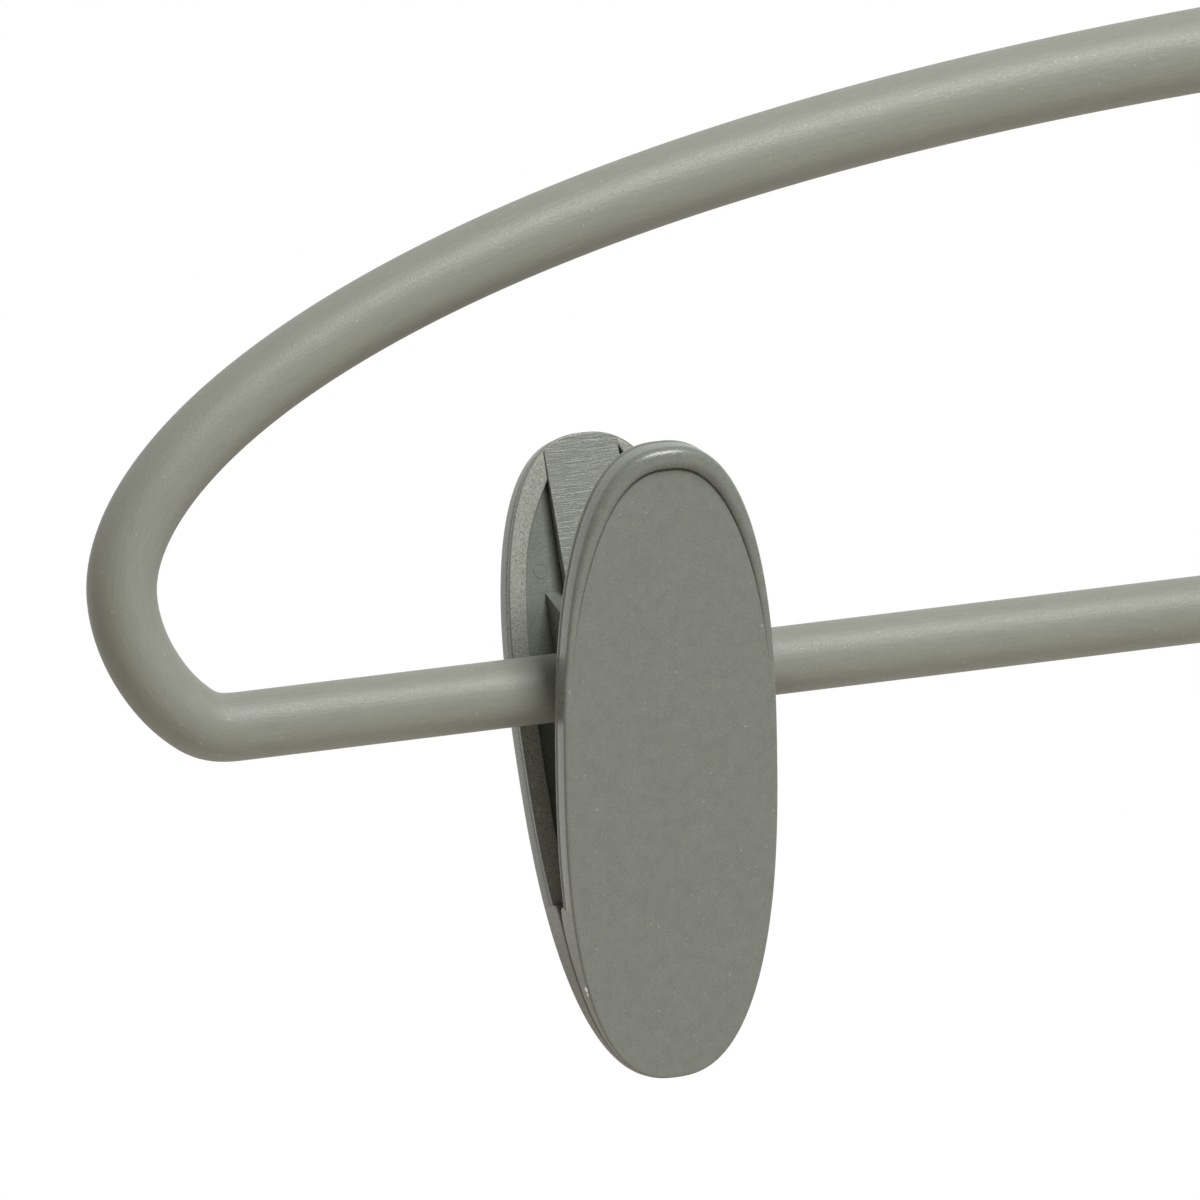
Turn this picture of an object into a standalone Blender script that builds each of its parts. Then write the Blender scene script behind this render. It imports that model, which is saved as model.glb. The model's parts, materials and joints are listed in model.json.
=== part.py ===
"""Clip hanger: a moulded loop frame on a steel swivel hook, with two pinch clips on its bar.

The origin is where the hook rests on a rail. Z is up, X runs along the trouser bar
and Y is the hanger's thickness. All sizes are in metres.
"""

import math

import bmesh
import bpy
from mathutils import Vector
from mathutils.geometry import interpolate_bezier

# Hook, a bent wire
HOOK_WIRE_DIAMETER = 0.0036
HOOK_INNER_RADIUS = 0.0200
HOOK_NECK_BEND_RADIUS = 0.0140
HOOK_TIP_ANGLE = math.radians(190.0)
HOOK_SHANK_LENGTH = 0.0120
HOOK_HEAD_OVERHANG = 0.0016
HOOK_HEAD_THICKNESS = 0.0024
HOOK_HEAD_CHAMFER = 0.0004

# Frame, one closed loop of round section
OVERALL_WIDTH = 0.350
BAR_DIAMETER = 0.0070
END_DIAMETER = 0.00715
CROWN_DIAMETER = 0.00945
CROWN_HEIGHT = 0.0597
END_HEIGHT = 0.0143

# The corner between the bar and the round end, as distances from the end's centre line
BAR_END_INSET = 0.0114
CORNER_INSET = 0.0051
CORNER_HEIGHT = 0.0025
CORNER_DIRECTION = math.radians(136.0)
CORNER_EASE = 0.0030
END_EASE = 0.0052

# How full the shoulder's curve is, as shares of its rise and of its reach
END_FULLNESS = 0.367
CROWN_FULLNESS = 0.757
SHOULDER_TAPER = 1.1

# Neck boss, which the hook turns in
BOSS_WALL = 0.00275
BOSS_TOP_WALL = 0.00225
BOSS_RISE = 0.0100
BOSS_SHOULDER_HEIGHT = 0.0045
BOSS_LOWER_COLLAR = 0.0017
BOSS_CHAMFER = 0.0006
HEAD_SETBACK = 0.0008

# Clips
CLIP_END_DISTANCE = 0.0585
SHELL_LENGTH = 0.06725
SHELL_WIDTH = 0.0234
SHELL_EXPONENT = 2.5
SHELL_CENTRE_DROP = 0.007025
BAR_TO_SHELL_FACE = 0.00525
SHELL_DEPTH = 0.0029
SHELL_WALL = 0.0018
RIM_WIDTH = 0.00175
EDGE_RADIUS = 0.00035

# Rolled upper edge of a clip shell, which fades out at the height of the bar
BEAD_WIDTH = 0.0023
BEAD_HEIGHT = 0.00075
BEAD_SIDE_DEPTH = 0.00025
BEAD_FADE = 1.6

# Flat pad inside the upper end of a clip shell
PAD_WIDTH = 0.0084
PAD_LOWER_END = 0.0095

# Jaw, the solid lower end of a clip shell
JAW_LENGTH = 0.01885
JAW_TIP_THICKNESS = 0.00055
JAW_LEDGE = 0.0023
JAW_GROOVES = 4
JAW_GROOVE_PITCH = 0.0028
JAW_GROOVE_DEPTH = 0.00045
JAW_GROOVE_LENGTH = 0.0120
JAW_GROOVE_END_DISTANCE = 0.0052

# Cheeks inside a clip shell, which ride on the bar, and the bridge between them
CHEEK_THICKNESS = 0.00155
CHEEK_TOP = 0.0107
CHEEK_TOP_SLOPE = math.radians(28.0)
CHEEK_END_DISTANCE = 0.0015
BRIDGE_HEIGHT = 0.0060
BRIDGE_THICKNESS = 0.0014
BRIDGE_RECESS = 0.0002

# Spring strip
SPRING_WIDTH = 0.0070
SPRING_THICKNESS = 0.0005
SPRING_LOOP_GAP = 0.0007
SPRING_SIDE_GAP = 0.00125
SPRING_TIP_DISTANCE = 0.0018

# Motion and fits
OPENING_ANGLE = math.radians(18.0)
CHEEK_RELIEF = math.radians(1.5)
FIT_GAP = 0.00035
JAW_GAP = 0.0003

# Finishes: colour in linear light, roughness and metallic share
PLASTIC_FINISH = ((0.209, 0.223, 0.188), 0.5, 0.0)
WIRE_FINISH = ((0.62, 0.62, 0.60), 0.25, 1.0)
SPRING_FINISH = ((0.16, 0.16, 0.16), 0.35, 1.0)

# Fineness of the round shapes
ROD_SIDES = 16
WIRE_SIDES = 12
BOSS_SIDES = 32
OUTLINE_POINTS = 44
BAR_END_STEPS = 5
END_STEPS = 7
SHOULDER_STEPS = 22
NECK_BEND_STEPS = 8
RAIL_BEND_STEPS = 30
TIP_STEPS = 3
SPRING_LOOP_STEPS = 16
SMOOTH_ANGLE = math.radians(35.0)
MERGE_DISTANCE = 0.000002

# Values that follow for the hook and the frame
WIRE_RADIUS = HOOK_WIRE_DIAMETER / 2
HEAD_RADIUS = WIRE_RADIUS + HOOK_HEAD_OVERHANG
BORE_RADIUS = WIRE_RADIUS + FIT_GAP
RECESS_RADIUS = HEAD_RADIUS + FIT_GAP
SEAT_RADIUS = HOOK_INNER_RADIUS + WIRE_RADIUS
NECK_BEND = math.acos(HOOK_NECK_BEND_RADIUS / (SEAT_RADIUS + HOOK_NECK_BEND_RADIUS))
SHANK_TOP = -HOOK_INNER_RADIUS - (SEAT_RADIUS + HOOK_NECK_BEND_RADIUS) * math.sin(NECK_BEND)
BOSS_TOP = SHANK_TOP - HOOK_SHANK_LENGTH
BOSS_DROP = CROWN_DIAMETER / 2 + BOSS_LOWER_COLLAR
CROWN_Z = BOSS_TOP - BOSS_RISE
HEAD_BOTTOM = CROWN_Z - BOSS_DROP + HEAD_SETBACK
HEAD_TOP = HEAD_BOTTOM + HOOK_HEAD_THICKNESS
RECESS_TOP = HEAD_TOP + FIT_GAP
BAR_RADIUS = BAR_DIAMETER / 2
BAR_Z = CROWN_Z - CROWN_HEIGHT
END_X = OVERALL_WIDTH / 2 - END_DIAMETER / 2

# Values that follow for a clip, measured from the bar's axis
CLIP_X = OVERALL_WIDTH / 2 - CLIP_END_DISTANCE
SHELL_TOP = SHELL_LENGTH / 2 - SHELL_CENTRE_DROP
SHELL_END = SHELL_LENGTH / 2 + SHELL_CENTRE_DROP
SHELL_DISTANCE = BAR_RADIUS + BAR_TO_SHELL_FACE
TIP_REACH = math.hypot(SHELL_DISTANCE, SHELL_END)
SHELL_LEAN = (math.acos((JAW_TIP_THICKNESS + JAW_GAP / 2) / TIP_REACH)
              - math.atan2(SHELL_END, SHELL_DISTANCE))
JAW_TOP = SHELL_END - JAW_LENGTH
POCKET_END = JAW_TOP - JAW_LEDGE
CHEEK_END = POCKET_END - CHEEK_END_DISTANCE
CHEEK_INNER_HALF = SPRING_WIDTH / 2 + SPRING_SIDE_GAP
CHEEK_OUTER_HALF = CHEEK_INNER_HALF + CHEEK_THICKNESS


def clear_scene():
    for item in list(bpy.data.objects):
        bpy.data.objects.remove(item, do_unlink=True)


def material(name, finish):
    colour, roughness, metallic = finish
    made = bpy.data.materials.new(name)
    made.use_nodes = True
    shader = made.node_tree.nodes["Principled BSDF"]
    shader.inputs["Base Color"].default_value = (*colour, 1.0)
    shader.inputs["Roughness"].default_value = roughness
    shader.inputs["Metallic"].default_value = metallic
    return made


def add_object(name, mesh, location, finish):
    """An object of this mesh, with a material of its own, which it also returns."""
    made = bpy.data.objects.new(name, mesh)
    made.location = location
    mesh.materials.clear()
    mesh.materials.append(material(name + "_finish", finish))
    bpy.context.scene.collection.objects.link(made)
    return made


def mesh_from(name, vertices, faces):
    """A mesh from points and faces, with its faces turned outwards."""
    mesh = bpy.data.meshes.new(name)
    mesh.from_pydata(vertices, [], faces)
    work = bmesh.new()
    work.from_mesh(mesh)
    bmesh.ops.recalc_face_normals(work, faces=work.faces)
    work.to_mesh(mesh)
    work.free()
    return mesh


def loft(name, rings, closed=False):
    """Skin over rings of equally many points, capped at both ends unless it closes on itself."""
    count = len(rings[0])
    vertices = [point for ring in rings for point in ring]
    faces = []
    last = len(rings) if closed else len(rings) - 1
    for row in range(last):
        here = row * count
        there = (row + 1) % len(rings) * count
        for i in range(count):
            j = (i + 1) % count
            faces.append((here + i, here + j, there + j, there + i))
    if not closed:
        faces.append(tuple(range(count)))
        faces.append(tuple(range(len(vertices) - count, len(vertices))))
    return mesh_from(name, vertices, faces)


def prism(name, profile, low, high):
    """A flat outline in Y and Z, run along X from low to high."""
    rings = [[Vector((x, y, z)) for y, z in profile] for x in (low, high)]
    return loft(name, rings)


def sweep(name, stations, sides, closed=False):
    """A round section swept along a path in the XZ plane: stations of point, heading, radius."""
    rings = []
    for (x, z), heading, radius in stations:
        across = Vector((-math.sin(heading), 0.0, math.cos(heading)))
        depth = Vector((0.0, 1.0, 0.0))
        centre = Vector((x, 0.0, z))
        ring = []
        for i in range(sides):
            turn = 2 * math.pi * (i + 0.5) / sides
            ring.append(centre + radius * (math.cos(turn) * across + math.sin(turn) * depth))
        rings.append(ring)
    return loft(name, rings, closed)


def turned(name, profile, sides, z):
    """A solid turned about the vertical through the origin: profile of radius and height."""
    rings = []
    for radius, height in profile:
        angles = [2 * math.pi * i / sides for i in range(sides)]
        rings.append([Vector((radius * math.cos(a), radius * math.sin(a), z + height)) for a in angles])
    return loft(name, rings)


def combine(mesh, steps):
    """The mesh after a series of Boolean steps, each an operation and the mesh it uses."""
    base = bpy.data.objects.new("base", mesh)
    bpy.context.scene.collection.objects.link(base)
    tools = []
    for operation, tool_mesh in steps:
        tool = bpy.data.objects.new("tool", tool_mesh)
        tool.hide_render = True
        tool.display_type = "WIRE"
        bpy.context.scene.collection.objects.link(tool)
        step = base.modifiers.new(operation.lower(), "BOOLEAN")
        step.operation = operation
        step.solver = "EXACT"
        step.object = tool
        tools.append(tool)
    graph = bpy.context.evaluated_depsgraph_get()
    result = bpy.data.meshes.new_from_object(base.evaluated_get(graph))
    for item in tools + [base]:
        bpy.data.objects.remove(item, do_unlink=True)
    return cleaned(result)


def cleaned(mesh):
    """The mesh with coincident points merged, slivers dissolved and many-sided faces split."""
    work = bmesh.new()
    work.from_mesh(mesh)
    bmesh.ops.remove_doubles(work, verts=work.verts, dist=MERGE_DISTANCE)
    bmesh.ops.dissolve_degenerate(work, edges=work.edges, dist=MERGE_DISTANCE)
    many_sided = [face for face in work.faces if len(face.verts) > 4]
    bmesh.ops.triangulate(work, faces=many_sided, ngon_method="EAR_CLIP")
    bmesh.ops.recalc_face_normals(work, faces=work.faces)
    work.to_mesh(mesh)
    work.free()
    return mesh


def shade(mesh):
    mesh.shade_smooth()
    mesh.set_sharp_from_angle(angle=SMOOTH_ANGLE)


def arc(centre, radius, start, end, steps):
    """Points and headings along an arc in the XZ plane, turning from start to end."""
    found = []
    for i in range(steps + 1):
        angle = start + (end - start) * i / steps
        point = (centre[0] + radius * math.cos(angle), centre[1] + radius * math.sin(angle))
        heading = angle + math.copysign(math.pi / 2, end - start)
        found.append((point, heading))
    return found


def hook_stations():
    """The hook from its head, up the shank, round the neck bend and over the rail to its tip."""
    up = math.pi / 2
    stations = [
        ((0.0, HEAD_BOTTOM), up, HEAD_RADIUS - HOOK_HEAD_CHAMFER),
        ((0.0, HEAD_BOTTOM + HOOK_HEAD_CHAMFER), up, HEAD_RADIUS),
        ((0.0, HEAD_TOP), up, HEAD_RADIUS),
        ((0.0, HEAD_TOP), up, WIRE_RADIUS),
    ]
    neck_centre = (HOOK_NECK_BEND_RADIUS, SHANK_TOP)
    neck = arc(neck_centre, HOOK_NECK_BEND_RADIUS, math.pi, math.pi - NECK_BEND, NECK_BEND_STEPS)
    for point, heading in neck:
        stations.append((point, heading, WIRE_RADIUS))
    rail_centre = (0.0, -HOOK_INNER_RADIUS)
    around = arc(rail_centre, SEAT_RADIUS, -NECK_BEND, HOOK_TIP_ANGLE, RAIL_BEND_STEPS)
    for point, heading in around[1:]:
        stations.append((point, heading, WIRE_RADIUS))
    (x, z), heading = around[-1]
    for i in range(1, TIP_STEPS + 1):
        turn = i * math.pi / 2 / (TIP_STEPS + 1)
        ahead = WIRE_RADIUS * math.sin(turn)
        point = (x + ahead * math.cos(heading), z + ahead * math.sin(heading))
        stations.append((point, heading, WIRE_RADIUS * math.cos(turn)))
    return stations


def build_hook():
    mesh = sweep("hook", hook_stations(), WIRE_SIDES)
    shade(mesh)
    add_object("hook", mesh, (0.0, 0.0, 0.0), WIRE_FINISH)


def frame_knots():
    """The left half's centre line: point, heading, and how far the curve runs straight each way."""
    level = math.pi
    upright = math.pi / 2
    end_reach = END_FULLNESS * (CROWN_HEIGHT - END_HEIGHT)
    crown_reach = CROWN_FULLNESS * END_X
    corner = (-(END_X - CORNER_INSET), BAR_Z + CORNER_HEIGHT)
    return [
        ((-(END_X - BAR_END_INSET), BAR_Z), level, 0.0, CORNER_EASE),
        (corner, CORNER_DIRECTION, CORNER_EASE, CORNER_EASE),
        ((-END_X, BAR_Z + END_HEIGHT), upright, END_EASE, end_reach),
        ((0.0, CROWN_Z), 0.0, crown_reach, 0.0),
    ]


def frame_path():
    """Centre-line points from the bar's left end to the crown, and which of them is the widest."""
    knots = frame_knots()
    points = []
    widest = 0
    for first, second, steps in zip(knots, knots[1:], (BAR_END_STEPS, END_STEPS, SHOULDER_STEPS)):
        start = Vector((*first[0], 0.0))
        end = Vector((*second[0], 0.0))
        leave = start + first[3] * Vector((math.cos(first[1]), math.sin(first[1]), 0.0))
        arrive = end - second[2] * Vector((math.cos(second[1]), math.sin(second[1]), 0.0))
        widest = len(points)
        points.extend(interpolate_bezier(start, leave, arrive, end, steps + 1)[:-1])
    points.append(end)
    return points, widest


def frame_stations():
    """The loop once round: the left half, then its mirror image, with the rod's radius at each point."""
    points, widest = frame_path()
    lengths = [0.0]
    for first, second in zip(points, points[1:]):
        lengths.append(lengths[-1] + (second - first).length)
    shoulder_start = lengths[widest]
    shoulder_length = lengths[-1] - shoulder_start
    left = []
    for i, point in enumerate(points):
        before = points[max(i - 1, 0)]
        after = points[min(i + 1, len(points) - 1)]
        heading = math.atan2(after.y - before.y, after.x - before.x)
        if i == 0:
            heading = math.pi
        if i == len(points) - 1:
            heading = 0.0
        if i <= widest:
            share = lengths[i] / shoulder_start
            diameter = BAR_DIAMETER + (END_DIAMETER - BAR_DIAMETER) * share
        else:
            share = (lengths[i] - shoulder_start) / shoulder_length
            diameter = END_DIAMETER + (CROWN_DIAMETER - END_DIAMETER) * share ** SHOULDER_TAPER
        left.append(((point.x, point.y), heading, diameter / 2))
    right = [((-x, z), -heading, radius) for (x, z), heading, radius in reversed(left[:-1])]
    return left + right


def build_frame():
    loop = sweep("frame", frame_stations(), ROD_SIDES, closed=True)
    boss = RECESS_RADIUS + BOSS_WALL
    boss_top = BORE_RADIUS + BOSS_TOP_WALL
    outside = [
        (boss - BOSS_CHAMFER, -BOSS_DROP),
        (boss, -BOSS_DROP + BOSS_CHAMFER),
        (boss, BOSS_SHOULDER_HEIGHT),
        (boss_top, BOSS_RISE - BOSS_CHAMFER),
        (boss_top - BOSS_CHAMFER, BOSS_RISE),
    ]
    inside = [
        (RECESS_RADIUS, -BOSS_DROP - boss),
        (RECESS_RADIUS, RECESS_TOP - CROWN_Z),
        (BORE_RADIUS, RECESS_TOP - CROWN_Z),
        (BORE_RADIUS, BOSS_RISE + boss),
    ]
    steps = [
        ("UNION", turned("boss", outside, BOSS_SIDES, CROWN_Z)),
        ("DIFFERENCE", turned("bore", inside, BOSS_SIDES, CROWN_Z)),
    ]
    mesh = combine(loop, steps)
    shade(mesh)
    add_object("frame", mesh, (0.0, 0.0, 0.0), PLASTIC_FINISH)


def outline(turn, inset):
    """A point of the shell's oval outline, moved inwards: across the shell, and up from the bar."""
    power = 2 / SHELL_EXPONENT
    across = math.copysign(abs(math.cos(turn)) ** power, math.cos(turn))
    along = math.copysign(abs(math.sin(turn)) ** power, math.sin(turn))
    return (SHELL_WIDTH / 2 - inset) * across, (SHELL_LENGTH / 2 - inset) * along - SHELL_CENTRE_DROP


def on_shell(across, along, depth):
    """A point of the front shell, measured in from its flat face, with the bar's axis as origin."""
    out = SHELL_DISTANCE - depth
    y = -out * math.cos(SHELL_LEAN) - along * math.sin(SHELL_LEAN)
    z = -out * math.sin(SHELL_LEAN) + along * math.cos(SHELL_LEAN)
    return Vector((across, y, z))


def bead_share(along):
    """How much of the rolled edge there is at this height: all at the top, none at the bar."""
    return max(along / SHELL_TOP, 0.0) ** BEAD_FADE


def shell_body():
    """The shell's outside, from a deep open edge over its rolled edge to the flat face."""
    deep = SHELL_DISTANCE + SHELL_LENGTH * math.sin(SHELL_LEAN)
    outer_turns = [math.radians(a) for a in (0.0, 45.0, 90.0)]
    inner_turns = [math.radians(a) for a in (45.0, 90.0)]
    columns = []
    for i in range(OUTLINE_POINTS):
        turn = 2 * math.pi * i / OUTLINE_POINTS
        share = bead_share(outline(turn, 0.0)[1])
        half = EDGE_RADIUS + (BEAD_WIDTH / 2 - EDGE_RADIUS) * share
        rise = BEAD_HEIGHT * share
        side = EDGE_RADIUS + (BEAD_SIDE_DEPTH - EDGE_RADIUS) * share + rise
        section = [(0.0, deep)]
        for a in outer_turns:
            section.append((half * (1 - math.cos(a)), side * (1 - math.sin(a)) - rise))
        for a in inner_turns:
            section.append((half * (1 + math.sin(a)), -rise * math.cos(a)))
        columns.append([on_shell(*outline(turn, inset), depth) for inset, depth in section])
    return loft("shell", [list(ring) for ring in zip(*columns)])


def parting_edges():
    """The cut that leaves the open rim above the jaw, and the jaw's face on the parting plane."""
    top = SHELL_LENGTH
    far = SHELL_DISTANCE + SHELL_LENGTH
    rim_top = on_shell(0.0, top, SHELL_DEPTH)
    rim_step = on_shell(0.0, -JAW_TOP, SHELL_DEPTH)
    gap = JAW_GAP / 2
    step_z = rim_step.z - (rim_step.y + gap) * math.tan(SHELL_LEAN)
    return [
        (rim_top.y, rim_top.z),
        (rim_step.y, rim_step.z),
        (-gap, step_z),
        (-gap, -top),
        (far, -top),
        (far, rim_top.z),
    ]


def pocket():
    """The hollow inside the rim, which leaves the flat pad standing between its two upper arms."""
    half_pad = PAD_WIDTH / 2
    points = []
    for i in range(OUTLINE_POINTS):
        turn = math.pi / 2 - 2 * math.pi * (i + 0.5) / OUTLINE_POINTS
        across, along = outline(turn, RIM_WIDTH)
        if along > -POCKET_END and (abs(across) > half_pad or along < 0.0):
            points.append((across, along))
    upper = outline_height(half_pad, RIM_WIDTH)
    lower = outline_half_width(-POCKET_END, RIM_WIDTH)
    right = [point for point in points if point[0] > 0]
    left = [point for point in points if point[0] < 0]
    path = [(half_pad, PAD_LOWER_END), (half_pad, upper)] + right + [(lower, -POCKET_END)]
    path += [(-lower, -POCKET_END)] + left + [(-half_pad, upper), (-half_pad, PAD_LOWER_END)]
    rings = [[on_shell(x, z, depth) for x, z in path] for depth in (SHELL_WALL, SHELL_DEPTH + RIM_WIDTH)]
    return loft("pocket", rings)


def outline_height(across, inset):
    """How high above the bar the upper outline is, at this distance from the middle."""
    share = 1 - (across / (SHELL_WIDTH / 2 - inset)) ** SHELL_EXPONENT
    return (SHELL_LENGTH / 2 - inset) * share ** (1 / SHELL_EXPONENT) - SHELL_CENTRE_DROP


def outline_half_width(along, inset):
    """Half the outline's width at this height above the bar."""
    offset = abs(along + SHELL_CENTRE_DROP) / (SHELL_LENGTH / 2 - inset)
    return (SHELL_WIDTH / 2 - inset) * (1 - offset ** SHELL_EXPONENT) ** (1 / SHELL_EXPONENT)


def cheek_profile():
    """One cheek in Y and Z: from the shell's wall to the parting plane, relieved above the bar."""
    root_top = on_shell(0.0, CHEEK_TOP, SHELL_WALL / 2)
    lean = OPENING_ANGLE + CHEEK_RELIEF
    gap = JAW_GAP / 2
    slope = math.tan(CHEEK_TOP_SLOPE - SHELL_LEAN)
    tip_z = (root_top.z + slope * (root_top.y + gap)) / (1 + slope * math.tan(lean))
    root_end = on_shell(0.0, -CHEEK_END, SHELL_WALL / 2)
    return [
        (root_top.y, root_top.z),
        (-gap - tip_z * math.tan(lean), tip_z),
        (-gap, 0.0),
        (-gap, root_end.z),
        (root_end.y, root_end.z),
    ]


def bridge_span():
    """The heights of the bridge's lower and upper edge."""
    low = on_shell(0.0, -CHEEK_END, SHELL_WALL / 2).z + BRIDGE_RECESS
    return low, low + BRIDGE_HEIGHT


def bridge_profile():
    """The bridge that the spring's leg presses on, in Y and Z."""
    front = -JAW_GAP / 2 - BRIDGE_RECESS
    back = front - BRIDGE_THICKNESS
    low, top = bridge_span()
    return [(back, top), (front, top), (front, low), (back, low)]


def bar_hole():
    """The round seat of the bar across a clip shell."""
    radius = BAR_RADIUS + FIT_GAP
    profile = []
    for i in range(ROD_SIDES * 2):
        turn = math.pi * (i + 0.5) / ROD_SIDES
        profile.append((radius * math.cos(turn), radius * math.sin(turn)))
    return prism("bar_hole", profile, -SHELL_WIDTH, SHELL_WIDTH)


def jaw_groove(index):
    """One grip groove across the jaw's face, which stops short of the shell's sides."""
    z = -SHELL_END + JAW_GROOVE_END_DISTANCE + index * JAW_GROOVE_PITCH
    face = -JAW_GAP / 2
    half = JAW_GROOVE_DEPTH
    profile = [(face - half, z), (face + half, z + 2 * half), (face + half, z - 2 * half)]
    return prism("groove", profile, -JAW_GROOVE_LENGTH / 2, JAW_GROOVE_LENGTH / 2)


def shell_mesh():
    """One clip shell at rest, leaning out in front of the bar, whose axis is its origin."""
    steps = [
        ("DIFFERENCE", prism("parting", parting_edges(), -SHELL_WIDTH, SHELL_WIDTH)),
        ("DIFFERENCE", pocket()),
    ]
    for side in (-1, 1):
        edges = sorted((side * CHEEK_INNER_HALF, side * CHEEK_OUTER_HALF))
        steps.append(("UNION", prism("cheek", cheek_profile(), *edges)))
    middle = CHEEK_INNER_HALF + CHEEK_THICKNESS / 2
    steps.append(("UNION", prism("bridge", bridge_profile(), -middle, middle)))
    steps.append(("DIFFERENCE", bar_hole()))
    for index in range(JAW_GROOVES):
        steps.append(("DIFFERENCE", jaw_groove(index)))
    mesh = combine(shell_body(), steps)
    shade(mesh)
    return mesh


def spring_profile():
    """The strip's outline in Y and Z: over the bar, in towards the bridges and down along them."""
    half = SPRING_THICKNESS / 2
    loop = BAR_RADIUS + SPRING_LOOP_GAP + half
    leg = JAW_GAP / 2 + BRIDGE_RECESS + BRIDGE_THICKNESS + FIT_GAP + half
    bridge_low, bridge_top = bridge_span()
    bend = bridge_top + FIT_GAP
    tip = bridge_low + SPRING_TIP_DISTANCE
    leave = math.atan2(leg, -bend) + math.acos(loop / math.hypot(leg, bend))
    points = [Vector((leg, tip)), Vector((leg, bend))]
    for i in range(SPRING_LOOP_STEPS + 1):
        turn = leave + 2 * (math.pi - leave) * i / SPRING_LOOP_STEPS
        points.append(Vector((loop * math.sin(turn), -loop * math.cos(turn))))
    points += [Vector((-leg, bend)), Vector((-leg, tip))]
    outer = []
    inner = []
    for i, point in enumerate(points):
        before = points[i - 1] if i > 0 else 2 * point - points[1]
        after = points[i + 1] if i < len(points) - 1 else 2 * point - points[-2]
        first = (point - before).normalized()
        along = (first + (after - point).normalized()).normalized()
        offset = half / along.dot(first) * Vector((along.y, -along.x))
        outer.append(tuple(point + offset))
        inner.append(tuple(point - offset))
    return outer + inner[::-1]


def build_clip(side, x):
    place = (x, 0.0, BAR_Z)
    shell = shell_mesh()
    for half, turn in (("front", 0.0), ("rear", math.pi)):
        name = f"{side}_clip_{half}_shell"
        made = add_object(name, shell.copy(), place, PLASTIC_FINISH)
        made.rotation_euler = (0.0, 0.0, turn)
    width = SPRING_WIDTH / 2
    spring = prism(f"{side}_clip_spring", spring_profile(), -width, width)
    shade(spring)
    add_object(f"{side}_clip_spring", spring, place, SPRING_FINISH)


def main():
    clear_scene()
    build_hook()
    build_frame()
    build_clip("left", -CLIP_X)
    build_clip("right", CLIP_X)


main()
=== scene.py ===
"""A clip hanger's looks: moulded rod frame, steel hook, pinch clips with their springs, and a studio."""

import json
import math

import bmesh
import bpy
from mathutils import Matrix, Vector
from mathutils.geometry import interpolate_bezier


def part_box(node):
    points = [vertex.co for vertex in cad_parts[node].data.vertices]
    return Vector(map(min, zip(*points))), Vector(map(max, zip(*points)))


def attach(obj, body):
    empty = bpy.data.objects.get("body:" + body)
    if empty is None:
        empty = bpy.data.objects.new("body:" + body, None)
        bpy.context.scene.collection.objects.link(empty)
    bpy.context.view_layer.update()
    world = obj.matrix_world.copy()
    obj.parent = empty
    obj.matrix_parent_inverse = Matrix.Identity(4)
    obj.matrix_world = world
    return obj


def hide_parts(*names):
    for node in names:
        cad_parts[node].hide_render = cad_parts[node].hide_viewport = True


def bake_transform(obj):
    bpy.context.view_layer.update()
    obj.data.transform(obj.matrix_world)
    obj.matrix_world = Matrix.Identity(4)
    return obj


bl_info = {
    "name": "Clip hanger",
    "version": (1, 0, 0),
    "blender": (4, 5, 0),
    "location": "3D View > Sidebar > Hanger",
    "description": "Builds a moulded clip hanger with a steel hook, and a studio to show it in",
    "category": "Add Mesh",
}

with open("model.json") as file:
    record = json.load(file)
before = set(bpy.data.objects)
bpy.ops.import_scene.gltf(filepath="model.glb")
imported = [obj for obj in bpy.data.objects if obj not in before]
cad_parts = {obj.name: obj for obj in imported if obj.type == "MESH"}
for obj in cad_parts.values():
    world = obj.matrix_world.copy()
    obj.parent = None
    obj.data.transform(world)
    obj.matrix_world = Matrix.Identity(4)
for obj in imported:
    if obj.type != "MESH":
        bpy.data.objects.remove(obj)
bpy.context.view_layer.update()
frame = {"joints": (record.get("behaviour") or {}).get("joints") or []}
JOINTS = {joint["name"]: joint for joint in frame["joints"]}
SIDES = ("left", "right")
FRAME_LOW, FRAME_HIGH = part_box("frame")
BAR_Z = JOINTS["left_clip_front_pinch"]["pos_m"][2]
MM = 0.001
MERGE_DISTANCE = 1e-7
# How many steps each run of the frame's path has: the bar, the corner, the round end and the shoulder.
BAR_STEPS, CORNER_STEPS, END_STEPS, SHOULDER_STEPS = 40, 14, 18, 90
WIDEST = BAR_STEPS + CORNER_STEPS + END_STEPS
# Steps of the hook's neck bend, its bow over the rail and its rounded tip.
NECK_STEPS, BOW_STEPS, TIP_STEPS = 20, 96, 8
WIRE_SIDES, BOSS_SIDES, FLOOR_SIDES, PIN_MARK_SIDES = 40, 72, 96, 24
# Steps of a cheek's seat on the bar, of the pad's rounded top and of half a spring's loop.
SEAT_STEPS, PAD_STEPS, SPRING_STEPS = 24, 14, 24
# The clip shell's materials, as slots of its mesh. The fine-eroded one is slot 0.
MILLED, COARSE, TORN = 1, 2, 3
# A Mix node's sockets when it mixes colours: its inputs, and its output.
FACTOR, FIRST, SECOND, MIXED = 0, 6, 7, 2


def length(name, default, description):
    return bpy.props.FloatProperty(
        name=name, description=description, default=default, min=0.0, unit="LENGTH", precision=5)


def number(name, default, description):
    return bpy.props.FloatProperty(name=name, description=description, default=default, min=0.0)


def angle(name, degrees, description):
    return bpy.props.FloatProperty(
        name=name, description=description, default=math.radians(degrees), subtype="ANGLE")


def count(name, default, description):
    return bpy.props.IntProperty(name=name, description=description, default=default, min=3)


def colour(name, default, description):
    return bpy.props.StringProperty(name=name, description=description, default=default)


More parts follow.
